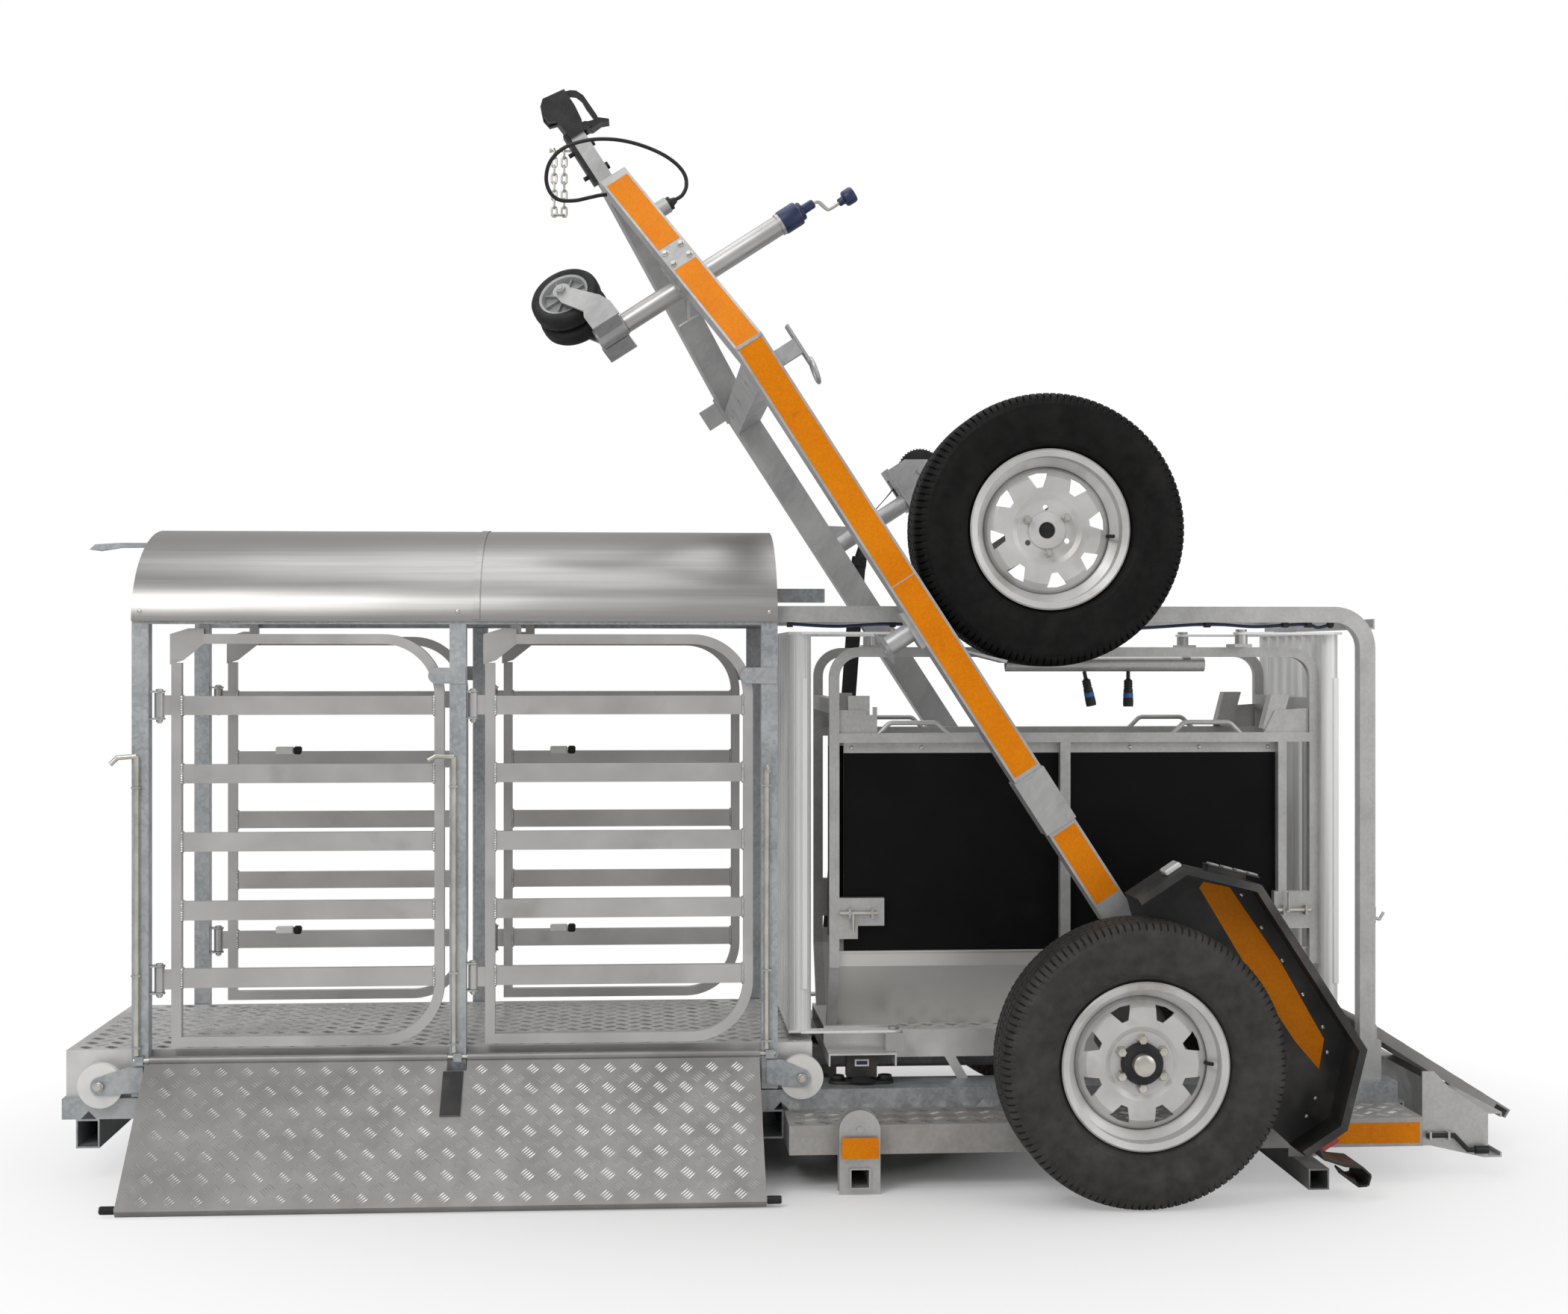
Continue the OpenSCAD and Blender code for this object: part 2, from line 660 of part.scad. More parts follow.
lever_x = step_right + 34;
lever_y = plate_y + 20;
lever_z = 112;
module ramp_lever() {
    y = -lever_y;
    color([0.25, 0.25, 0.26])
        {
            bar_x(y, lever_z, 6, lever_x - 28, lever_x + 42);
            rod([lever_x + 40, y, lever_z], [lever_x + 74, y, lever_z - 36], 5.8);
            bar_x(y, lever_z - 36, 6, lever_x + 72, lever_x + 96);
        }
    color(black) bar_x(y, lever_z - 36, 10, lever_x + 92, lever_x + 124);
}

/* Drafting module: posts, rails, canopy, gates, ramps and rollers */

post_z0 = rail_top + 7;
top_rail_z = canopy_z - 7;
top_rail_h = 40;
rod_y = -post_out - 8;                      // drop rods stand just off the posts
rod_r = 7;
rod_x = [post_x[0] - 7, post_x[1] - 9, post_x[2] - 7];
rod_top = [1036, 1032, 1004];
guide_z = [332, 506, 960];
ramp_y = -post_out - 6;                     // axis of the near ramp
ramp_z = 300;
ramp_pin = 6;

hinge_z = [1158, 492];
hinge_h = 60;
gate_piv = [post_x[0] + 42, post_x[1] + 36];
lug_t = 4;

module hinge_lugs(x_post, x_piv) {
    for (z = hinge_z) for (s = [-1, 1]) difference() {
        union() {
            block(x_post + post_w / 2, x_piv, -bay_half - 14, -bay_half + 14,
                  z + s * (hinge_h / 2 + 1 + lug_t / 2) - lug_t / 2,
                  z + s * (hinge_h / 2 + 1 + lug_t / 2) + lug_t / 2);
            bar_z(x_piv, -bay_half, 14, z + s * (hinge_h / 2 + 1 + lug_t / 2) - lug_t / 2,
                  z + s * (hinge_h / 2 + 1 + lug_t / 2) + lug_t / 2);
        }
        bar_z(x_piv, -bay_half, pin_r, z - 50, z + 50);
    }
}

module latch_plate(x_post) {
    slab_xz(-post_out - 4, -post_out) {
        translate([x_post - 52, 1210]) square([70, 39]);
        translate([x_post - 52, 1229.5]) circle(r = 19.5);
    }
}

module module_posts() {
    color(galv) {
        pair() {
            for (x = post_x) difference() {
                block(x - post_w / 2, x + post_w / 2, -post_out, -post_in, post_z0, top_rail_z);
                block(x - post_w / 2 + 3, x + post_w / 2 - 3, -post_out + 3, -post_in - 3, post_z0 - 1,
                      top_rail_z + 1);
            }
            for (i = [0, 1]) hinge_lugs(post_x[i], gate_piv[i]);
            for (i = [1, 2]) latch_plate(post_x[i]);
            // lugs that carry the ramp rod
            for (x = post_x) difference() {
                block(x - 10, x + 10, -post_out - 15, -post_out, ramp_z - 10, ramp_z + 10);
                bar_x(ramp_y, ramp_z, ramp_pin, x - 11, x + 11);
            }
        }
        // guides of the near drop rods
        for (i = [0 : 2]) for (z = guide_z) difference() {
            block(rod_x[i] - 11, rod_x[i] + 11, rod_y - 11, -post_out, z - 2, z + 2);
            bar_z(rod_x[i], rod_y, rod_r + fit, z - 3, z + 3);
        }
    }
}

tongue_y = -200;
ridge_w = 36;

module module_rails() {
    color(galv) {
        pair() difference() {
            block(post_x[0] - post_w / 2, post_x[2] + post_w / 2, -post_out, -post_out + 34, top_rail_z,
                  top_rail_z + top_rail_h);
            block(post_x[0] - post_w / 2 - 1, post_x[2] + post_w / 2 + 1, -post_out + 3, -post_out + 31,
                  top_rail_z + 3, top_rail_z + top_rail_h - 3);
        }
        // bows across the bay, one over each pair of posts
        for (x = post_x) {
            block(x - 15, x + 15, -post_out + 34, post_out - 34, top_rail_z + top_rail_h - 6 + 20,
                  top_rail_z + top_rail_h + 24);
            pair() block(x - 15, x + 15, -post_out + 28, -post_out + 38, top_rail_z + top_rail_h,
                         top_rail_z + top_rail_h + 38);
        }
        // ridge bar that reaches over the weigh crate
        difference() {
            block(post_x[0], join_x + 168, -ridge_w / 2, ridge_w / 2, top_rail_z + top_rail_h + 24,
                  top_rail_z + top_rail_h + 24 + ridge_w);
            block(post_x[0] - 1, join_x + 169, -ridge_w / 2 + 3, ridge_w / 2 - 3,
                  top_rail_z + top_rail_h + 27, top_rail_z + top_rail_h + 21 + ridge_w);
        }
        // catch tongue at the left end, on a hanger from the first bow
        slab_xz(tongue_y - 15, tongue_y + 15)
            polygon([[post_x[0] - 164, 1543], [post_x[0] - 150, 1556], [post_x[0] - 90, 1560],
                     [post_x[0] + 15, 1560], [post_x[0] + 15, 1550], [post_x[0] - 92, 1548],
                     [post_x[0] - 140, 1540]]);
        block(post_x[0] - 15, post_x[0] + 15, tongue_y - 15, tongue_y + 15,
              top_rail_z + top_rail_h + 24, 1550);
    }
}

canopy_half = post_out + 8;
canopy_t = 3;
canopy_n = 16;

// Quarter points of the canopy arch, from one edge to the other
function arch_pts(a, b) = [for (i = [0 : 2 * canopy_n]) let (t = 180 * i / (2 * canopy_n))
                           [a * cos(t), b * sin(t)]];

module canopy() {
    outer = arch_pts(canopy_half, canopy_rise);
    inner = arch_pts(canopy_half - canopy_t, canopy_rise - canopy_t);
    color([0.75, 0.74, 0.71])
        slab_yz(post_x[0] - canopy_over, post_x[2] + canopy_over)
            translate([0, canopy_z]) polygon(concat(outer, [for (i = [2 * canopy_n : -1 : 0]) inner[i]]));
}

module hinge_pins() {
    color(bright) pair() {
        for (x = gate_piv) for (z = hinge_z) {
            bar_z(x, -bay_half, pin_r, z - hinge_h / 2 - 14, z + hinge_h / 2 + 10);
            bar_z(x, -bay_half, 9, z + hinge_h / 2 + 1 + lug_t, z + hinge_h / 2 + 9);
            bar_z(x, -bay_half, 8, z - hinge_h / 2 - 11, z - hinge_h / 2 - 1 - lug_t);
        }
        bar_x(ramp_y, ramp_z, ramp_pin, post_x[0] - 14, post_x[2] + 14);
    }
}

roller_tread = 34;
roller_z = rail_top + roller_tread;
roller_pos = [post_x[0] - 95, post_x[2] + 79];
roller_bolt = 8;
fork_y = rail_out + 22;                     // inner face of the fork plate

module roller_forks() {
    color(galv) pair() {
        for (i = [0, 1]) {
            x = roller_pos[i];
            p = post_x[2 * i];
            s = i == 0 ? 1 : -1;
            slab_xz(-fork_y - 5, -fork_y) difference() {
                union() {
                    translate([x, roller_z]) circle(r = 22);
                    polygon([[x - s * 8, roller_z + 20], [p - s * 30, post_z0 + 72], [p + s * 8, post_z0 + 72],
                             [p + s * 8, post_z0 + 12], [x, roller_z - 22]]);
                }
                translate([x, roller_z]) circle(r = roller_bolt);
            }
            block(min(p - 18, p + 18), max(p - 18, p + 18), -fork_y, -post_out, post_z0 + 12, post_z0 + 60);
            bar_y(x, roller_z, roller_bolt, -fork_y - 16, -rail_out + 26);
            bar_y(x, roller_z, 13, -fork_y - 12, -fork_y - 5);
        }
    }
}

module roller(x) {
    difference() {
        union() {
            bar_y(x, roller_z, roller_r, -fork_y + 1, -rail_out - gap);
            bar_y(x, roller_z, roller_tread - gap, -rail_out - 1, -rail_out + 24);
        }
        bar_y(x, roller_z, roller_bolt + fit, -fork_y - 1, -rail_out + 25);
    }
}
module rollers_left() color("white") pair() roller(roller_pos[0]);
module rollers_right() color("white") pair() roller(roller_pos[1]);

gate_y0 = bay_half - 19;                    // inner face of a gate
gate_z0 = floor_top + 10;
gate_z1 = 1331;
rail_zs = [494, 658, 825, 991, 1157];
gate_len = 660;

// One gate on the near side, hung at x
module gate(x) {
    xl = x + 29;
    w = gate_len - 3;
    h = gate_z1 - gate_z0;
    y = -gate_y0;
    slab_xz(y - gate_tube, y) difference() {
        translate([xl, gate_z0]) round_right(w, h, gate_bend);
        translate([xl + gate_tube, gate_z0 + gate_tube])
            round_right(w - 2 * gate_tube, h - 2 * gate_tube, gate_bend - gate_tube);
        // the top corner at the hinge side is cut back and plated
        translate([xl - 1, gate_z1 - 74]) square([gate_tube + 60, 76]);
    }
    slab_xz(y - gate_tube / 2 - 3, y - gate_tube / 2 + 3)
        polygon([[xl - 5, gate_z1 - 74], [xl + 26, gate_z1 - 64], [xl + 76, gate_z1 - 24],
                 [xl + 76, gate_z1 + 14], [xl + 40, gate_z1 + 14], [xl - 5, gate_z1]]);
    slab_xz(y - gate_tube, y) {
        translate([xl, gate_z1 - 76]) square([gate_tube, 6]);
        translate([xl + 76, gate_z1 - gate_tube]) square([20, gate_tube]);
    }
    for (z = rail_zs)
        block(xl + gate_tube - 1, xl + w - gate_tube + 1, y - gate_tube + 2, y - 2, z - gate_rail_h / 2,
              z + gate_rail_h / 2);
    // stub that reaches up beside the top rail
    block(xl + 62, xl + 86, y - 0.5, y + 18, gate_z1 - 24, gate_z1 + 80);
    // knuckles
    for (z = hinge_z) difference() {
        union() {
            bar_z(x, -bay_half, 12, z - hinge_h / 2, z + hinge_h / 2);
            block(x, xl, -bay_half - 3, -bay_half + 3, z - hinge_h / 2 + 6, z + hinge_h / 2 - 6);
        }
        bar_z(x, -bay_half, pin_r + fit, z - hinge_h, z + hinge_h);
    }
}
module gate_left_near() color(bright) gate(gate_piv[0]);
module gate_right_near() color(bright) gate(gate_piv[1]);
module gate_left_far() color(bright) mirror([0, 1, 0]) gate(gate_piv[0]);
module gate_right_far() color(bright) mirror([0, 1, 0]) gate(gate_piv[1]);

ramp_x0 = post_x[0] + 15;
ramp_x1 = post_x[2] - 26;
ramp_t = 5;
ramp_lip = 34;

// A side ramp in its own flat position, hinged at the origin line and reaching to -y
module ramp_flat() {
    difference() {
        union() {
            block(ramp_x0, ramp_x1, -ramp_len, -14, -ramp_t, 0);
            for (x = [ramp_x0, ramp_x1 - 4]) block(x, x + 4, -ramp_len + 30, -26, -30, -ramp_t + 1);
            block(ramp_x0, ramp_x1, -ramp_len, -ramp_len + 24, -20, 0);
            for (i = [0, 1]) {
                bar_x(0, 0, 10, post_x[i] + 24, post_x[i + 1] - 24);
                block(post_x[i] + 24, post_x[i + 1] - 24, -16, 0, -ramp_t, 0);
            }
        }
        for (i = [0, 1]) bar_x(0, 0, ramp_pin + fit, post_x[i], post_x[i + 1]);
        block(post_x[1] - 24, post_x[1] + 24, -42, 1, -ramp_t - 1, 1);
    }
    // hand grips on the lower corners
    bar_x(-ramp_len + 12, -10, 8, ramp_x0 - 36, ramp_x0);
    bar_x(-ramp_len + 12, -10, 8, ramp_x1, ramp_x1 + 36);
    // keeper plate in front of the middle post
    block(post_x[1] - 32, post_x[1] + 18, -178, -46, 0, 4);
}
module near_ramp() color(bright) translate([0, ramp_y, ramp_z]) rotate([ramp_slope, 0, 0]) ramp_flat();
module far_ramp() color(bright) mirror([0, 1, 0]) near_ramp();

module drop_rod(i, tip) {
    color(bright) {
        bar_z(rod_x[i], rod_y, rod_r, 312, rod_top[i]);
        bent_rod(concat([[rod_x[i], rod_y, rod_top[i] - 0.5]], tip), rod_r - 1);
        bar_z(rod_x[i], rod_y, rod_r + 0.8, guide_z[2] + 4, guide_z[2] + 12);
    }
}
module drop_rod_left() drop_rod(0, [[rod_x[0] - 44, rod_y - 6, rod_top[0] - 4],
                                    [rod_x[0] - 60, rod_y - 10, rod_top[0] - 20]]);
module drop_rod_middle() drop_rod(1, [[rod_x[1] - 44, rod_y - 6, rod_top[1] + 2],
                                      [rod_x[1] - 62, rod_y - 10, rod_top[1] - 8]]);
module drop_rod_right() drop_rod(2, [[rod_x[2], rod_y - 34, rod_top[2] + 2],
                                     [rod_x[2], rod_y - 48, rod_top[2] - 8]]);

/* Carriage: drawn in its towing position with the axle at the origin, then raised */

module raised() {
    translate([axle_x, 0, axle_z]) rotate([0, tilt, 0]) children();
}

beam_in = beam_out - beam_w;
beam_mid = beam_out - beam_w / 2;
beam_end = 284;
neck = nose_x - 165;                        // where the tube meets the spread beams
splay = atan2(beam_mid - 44, neck - bend_x - 14);
wall = 4;

// One square tube from a to b in the plan, cut square at both ends
module plan_beam(a, b) {
    d = b - a;
    translate([a[0], a[1], beam_z]) rotate([0, 0, atan2(d[1], d[0])]) difference() {
        translate([0, -beam_w / 2, 0]) cube([norm(d), beam_w, beam_w]);
        translate([-1, -beam_w / 2 + wall, wall])
            cube([norm(d) + 2, beam_w - 2 * wall, beam_w - 2 * wall]);
    }
}

module drawbar_frame() {
    color(galv) raised() {
        // nose tube
        difference() {
            block(-nose_x, -neck + 30, -30, 30, beam_z, beam_z + 40);
            block(-nose_x - 1, -neck, -26, 26, beam_z + wall, beam_z + 40 - wall);
        }
        pair() {
            plan_beam([-neck, -34], [-bend_x + 6, -beam_mid - 7.4]);
            plan_beam([-bend_x - 24, -beam_mid], [-beam_end, -beam_mid]);
            // arm down to the stub axle
            slab_xz(-beam_out, -beam_out + 12)
                polygon([[-beam_end - 60, beam_z + beam_w], [-200, beam_z + beam_w], [70, 130],
                         [70, -50], [-60, -50], [-beam_end, beam_z], [-beam_end - 60, beam_z]]);
            bar_y(0, 0, 30, -beam_out - 6, -beam_out);
            for (p = [[-250, 186], [-40, 135]]) bar_y(p[0], p[1], 9, -guard_in, -beam_out);
            bar_y(0, 0, 20, -track_half - 40, -beam_out - 5);
            // sleeve over the beam joint
            difference() {
                block(-680, -534, -beam_out - 4, -beam_in + 4, beam_z - 4, beam_z + beam_w + 4);
                block(-681, -533, -beam_out, -beam_in, beam_z, beam_z + beam_w);
            }
        }
        // spreader between the beams just behind the bend
        difference() {
            block(-bend_x + 10, -bend_x + 85, -beam_in, beam_in, beam_z, beam_z + beam_w);
            block(-bend_x + 14, -bend_x + 81, -beam_in - 1, beam_in + 1, beam_z + wall,
                  beam_z + beam_w - wall);
            // galvanising vents
            for (y = [-380, 0, 380]) bar_z(-bend_x + 47, y, 9, beam_z - 1, beam_z + wall + 1);
        }
        // parking tube for the jockey wheel, below the near beam
        block(-1170, -1072, -beam_mid - 30, -beam_mid + 30, beam_z - 12, beam_z);
        difference() {
            union() {
                bar_z(-1120, -beam_mid, 24, 40, beam_z - 12);
                translate([-1120, -beam_mid, 40]) cylinder(r1 = 44, r2 = 24, h = 12);
            }
            bar_z(-1120, -beam_mid, 20, 39, beam_z - 12);
        }
        // spare wheel cradle on the near beam
        slab_xz(-beam_in - 30, -beam_in + 70)
            polygon([[-1330, beam_z + beam_w], [-1006, beam_z + beam_w], [-930, beam_z + beam_w + 70],
                     [-934, beam_z + beam_w + 76], [-1008, beam_z + beam_w + 6],
                     [-1330, beam_z + beam_w + 6]]);
        // hanger in the middle of the spare wheel
        block(-spare_x - 40, -spare_x + 40, -spare_in, -spare_in + 6, beam_z + beam_w - 6, spare_z + 70);
        block(-spare_x - 40, -spare_x + 40, -beam_in, -spare_in + 6, beam_z + beam_w - 6, beam_z + beam_w);
        for (a = [90, 210, 330])
            bar_y(-spare_x + 56 * cos(a), spare_z + 56 * sin(a), 6.5, spare_y - 52, -spare_in);
        // plug parking socket on the near beam
        difference() {
            bar_z(-holder_x, -holder_y, 21, beam_z + beam_w - 20, beam_z + beam_w + 34);
            bar_z(-holder_x, -holder_y, 15, beam_z + beam_w, beam_z + beam_w + 35);
        }
        // ring bracket on the near beam
        block(-bend_x + 30, -bend_x + 70, -beam_mid - 18, -beam_mid + 18, beam_z + beam_w,
              beam_z + beam_w + 60);
        block(-bend_x - 6, -bend_x + 100, -beam_mid - 22, -beam_mid + 22, beam_z + beam_w + 60,
              beam_z + beam_w + 66);
        translate([-bend_x + 120, -beam_mid, beam_z + beam_w + 62]) rotate([0, 12, 0])
            rotate_extrude($fn = 64) translate([30, 0]) circle(r = 5, $fn = 20);
        // tow lug on the far beam
        block(-bend_x - 40, -bend_x + 40, beam_mid - 18, beam_mid + 18, beam_z - 6, beam_z);
        block(-bend_x - 30, -bend_x + 30, beam_mid - 4, beam_mid + 4, beam_z - 60, beam_z - 6);
        // four-bolt plate that carries the jockey clamp
        translate([-jockey_x, -jockey_y, beam_z]) rotate([0, 0, -splay])
            block(-55, 55, -jockey_r - 17, -jockey_r - 8, -6, beam_w + 6);
    }
}

guard = [[-325, 200], [-325, 335], [-190, 462], [270, 462], [402, 320], [402, 205]];
guard_t = 4;
guard_in = track_half - tyre_w / 2 - 8;
guard_out = track_half + 30;

// The same outline moved in by t, kept parallel on its flat sides
function guard_inner(t) = [[-325 + t, 200], [-325 + t, 335 - t * 0.4], [-190 + t * 0.4, 462 - t],
                           [270 - t * 0.4, 462 - t], [402 - t, 320 - t * 0.4], [402 - t, 205]];

module mudguards() {
    n = len(guard);
    color(black) raised() pair() {
        slab_xz(-guard_out, -guard_in)
            polygon(concat(guard, [for (i = [n - 1 : -1 : 0]) guard_inner(guard_t)[i]]));
        slab_xz(-guard_out, -guard_out + guard_t)
            polygon(concat(guard_inner(guard_t), [for (i = [n - 1 : -1 : 0]) guard_inner(18)[i]]));
        // side plate behind the wheel, cut away round the axle
        slab_xz(-guard_in - guard_t, -guard_in) difference() {
            polygon(concat(guard_inner(guard_t), [[60, 120], [-60, 120]]));
        }
        // lamp bar on the front slope
        translate([-257, 0, 399]) rotate([0, -43.3, 0])
            block(-30, 62, -guard_out + 40, -guard_out + 90, 0, 14);
        // curled rubber flap at the tail
        rubber_flap();
    }
}

flap_pts = [[402, 240], [430, 236], [470, 268], [496, 300], [520, 306], [534, 290], [524, 272], [506, 272]];
module rubber_flap() {
    t = 5;
    p = flap_pts;
    for (i = [0 : len(p) - 2]) let (d = (p[i + 1] - p[i]) / norm(p[i + 1] - p[i]))
        slab_xz(-guard_out, -guard_in) {
            polygon([p[i], p[i + 1], p[i + 1] + t * [-d[1], d[0]], p[i] + t * [-d[1], d[0]]]);
            translate(p[i + 1] + t / 2 * [-d[1], d[0]]) circle(r = t / 2, $fn = 14);
        }
}

/* Coupling, chain, cable and plug at the nose */

module coupling_body() {
    color(black) raised() {
        // head, open below for the ball
        difference() {
            slab_xz(-38, 38)
                translate([-nose_x, beam_z])
                    polygon([[-126, -6], [-118, 55], [-68, 56], [-28, 51], [0, 40.5], [0, -1], [-60, -6],
                             [-66, -26], [-90, -30], [-112, -22]]);
            translate([-nose_x - 84, 0, beam_z]) sphere(r = 26, $fn = 40);
            bar_z(-nose_x - 84, 0, 25, beam_z - 40, beam_z);
        }
        // plate below the nose tube
        block(-nose_x - 20, -nose_x + 128, -24, 24, beam_z - 12, beam_z);
    }
    color(bright) raised() for (x = [30, 102]) {
        bar_z(-nose_x + x, 0, 10, beam_z + 40, beam_z + 50);
        bar_z(-nose_x + x, 0, 6, beam_z - 26, beam_z - 12);
    }
}

handle_piv = [-8, 57];                      // from the top of the nose tube's end

module coupling_handle() {
    color(black) raised() translate([-nose_x, 0, beam_z]) {
        // lever on the pin
        slab_xz(-30, 30) difference() {
            union() {
                translate(handle_piv) circle(r = 9.5);
                polygon([[-17, 60], [-12, 77], [-12, 90], [7, 113], [12, 111], [4, 91], [6, 64], [1, 56]]);
            }
            translate(handle_piv) circle(r = 5 + fit);
        }
        // open loop that the hand takes, its end resting on the head
        slab_xz(-11, 11) polygon([[-118, 55.8], [-113, 71], [-104, 83], [-84, 92], [-53, 93], [-20, 94],
                                  [-8, 90], [-12, 80], [-20, 82], [-53, 80], [-74, 81], [-92, 75],
                                  [-101, 64], [-104, 55.8]]);
    }
}

// Two cheeks on the head that hold the handle's pin
module handle_upright() {
    color(black) raised() translate([-nose_x, 0, beam_z]) {
        pair() slab_xz(-34.4, -30.4)
            polygon([[-26, 30], [-2, 30], [1, 57], [-3, 66], [-13, 66], [-20, 56]]);
        bar_y(handle_piv[0], handle_piv[1], 5, -34.4, 34.4);
    }
}

// A point of the raised carriage in the machine's own axes
function up(x, z) = [axle_x + x * cos(tilt) + z * sin(tilt), axle_z - x * sin(tilt) + z * cos(tilt)];

chain_r = 2.5;
link_l = 32;
link_w = 18;
chain_top = up(-nose_x - 10, beam_z - 14) + [-27.5, -17];
chain_pin = 3;
chain_links = 8;

// One stadium link, standing in a plane that holds z and is turned by a
module link(a) {
    rotate([0, 0, a]) {
        for (s = [-1, 1]) translate([s * (link_w / 2 - chain_r), 0, -(link_l - link_w) / 2])
            cylinder(r = chain_r, h = link_l - link_w, $fn = 14);
        for (s = [-1, 1]) translate([0, 0, s * (link_l - link_w) / 2]) rotate([90, 0, 0])
            rotate_extrude($fn = 28, angle = s * 180)
                translate([link_w / 2 - chain_r, 0]) circle(r = chain_r, $fn = 14);
    }
}

module safety_chain() {
    pitch = link_l - 4 * chain_r - gap;
    color(bright) {
        for (dx = [0, 26], i = [0 : chain_links - 1])
            translate([chain_top[0] + dx, 0, chain_top[1] - link_l / 2 - i * pitch])
                link(i % 2 == 0 ? 90 : 0);
        // bottom link that joins the two strands
        translate([chain_top[0] + 13, 0,
                   chain_top[1] - link_l - (chain_links - 1) * pitch + 3 * chain_r + gap / 2])
            rotate([0, 90, 0]) link(90);
        // headed pin against the coupling plate, through the top links
        z = chain_top[1] - 2 * chain_r - chain_pin - gap / 2;
        bar_x(0, z, chain_pin, chain_top[0] - 8, chain_top[0] + 43.6);
        bar_x(0, z, 5.5, chain_top[0] - 12, chain_top[0] - 7.5);
    }
}

holder_x = 2360;
holder_y = 130;
plug_z = beam_z + beam_w;
plug_top = plug_z + 58;
lead_r = 5;

module trailer_plug() {
    color(black) raised() {
        bar_z(-holder_x, -holder_y, 14.5, plug_z + 1, plug_z + 36);
        bar_z(-holder_x, -holder_y, 18, plug_z + 34.5, plug_z + 44);
        translate([-holder_x, -holder_y, plug_z + 44]) cylinder(r1 = 12, r2 = 7, h = 14);
    }
}

// Route of the trailer cable in the machine's own axes, from the plug to the gland in the beam
plug_out = up(-holder_x, plug_top + 0.6);
gland = [-517.5, -70, 2476];
lead_pts = [[plug_out[0], -holder_y, plug_out[1]], [-322, -130, 2466], [-312, -131, 2490],
            [-318, -132, 2520], [-345, -134, 2550], [-390, -136, 2576], [-450, -138, 2596],
            [-510, -140, 2604], [-570, -138, 2600], [-625, -132, 2582], [-660, -124, 2550],
            [-672, -116, 2510], [-664, -108, 2475], [-640, -100, 2455], [-600, -92, 2455],
            [-560, -82, 2466], [-536, -75, 2473], gland];

function dir3(p, i) = let (a = p[max(0, i - 1)], b = p[min(len(p) - 1, i + 1)]) (b - a) / norm(b - a);
function side3(d) = let (s = cross(d, [0, 1, 0])) s / norm(s);

// A tube of n sides through points in space whose run stays out of the y direction
module tube3(p, r, n) {
    m = len(p);
    verts = [for (i = [0 : m - 1]) let (d = dir3(p, i), s = side3(d), t = cross(d, s))
        for (k = [0 : n - 1]) p[i] + r * cos(360 * k / n) * s + r * sin(360 * k / n) * t];
    faces = concat(
        [[for (k = [0 : n - 1]) k]],
        [[for (k = [n - 1 : -1 : 0]) (m - 1) * n + k]],
        [for (i = [0 : m - 2]) for (k = [0 : n - 1])
            [i * n + k, (i + 1) * n + k, (i + 1) * n + (k + 1) % n, i * n + (k + 1) % n]]);
    polyhedron(points = verts, faces = faces, convexity = 6);
}

module trailer_cable() color(black) tube3(lead_pts, lead_r, 8);

/* Jockey wheel */

// The clamp's back plate bears on the inner face of the near beam
jockey_y = 34 + (neck - jockey_x) * tan(splay) - (beam_w / 2 + jockey_r + 15) / cos(splay);
swivel = 41;
inner_r = jockey_r - 5;
jockey_z0 = -33;                            // lower end of the outer tube
jockey_z1 = 492;
fork_w = 62;
jwheel_r = 92;
jwheel_x = -164;                            // wheel axle behind the tube
jwheel_z = -119;

module jockey_tube() {
    color(bright) raised() translate([-jockey_x, -jockey_y, 0]) {
        difference() {
            bar_z(0, 0, jockey_r, jockey_z0, jockey_z1);
            bar_z(0, 0, inner_r + fit, jockey_z0 - 1, jockey_z1 - 40);
        }
        difference() {
            bar_z(0, 0, jockey_r + 3, jockey_z1 - 60, jockey_z1);
            bar_z(0, 0, jockey_r, jockey_z1 - 61, jockey_z1 + 1);
        }
    }
}

// Clamp and T-handle on the near beam, part of the drawbar
module jockey_clamp() {
    color(galv) raised() translate([-jockey_x, -jockey_y, 0]) {
        difference() {
            bar_z(0, 0, jockey_r + 9, beam_z - 4, beam_z + beam_w + 4);
            bar_z(0, 0, jockey_r + fit, beam_z - 5, beam_z + beam_w + 5);
        }
        rod([30, 10, beam_z + 10], [78, 26, beam_z - 16], 6);
        bar_z(78, 26, 5, beam_z - 46, beam_z + 14);
    }
}

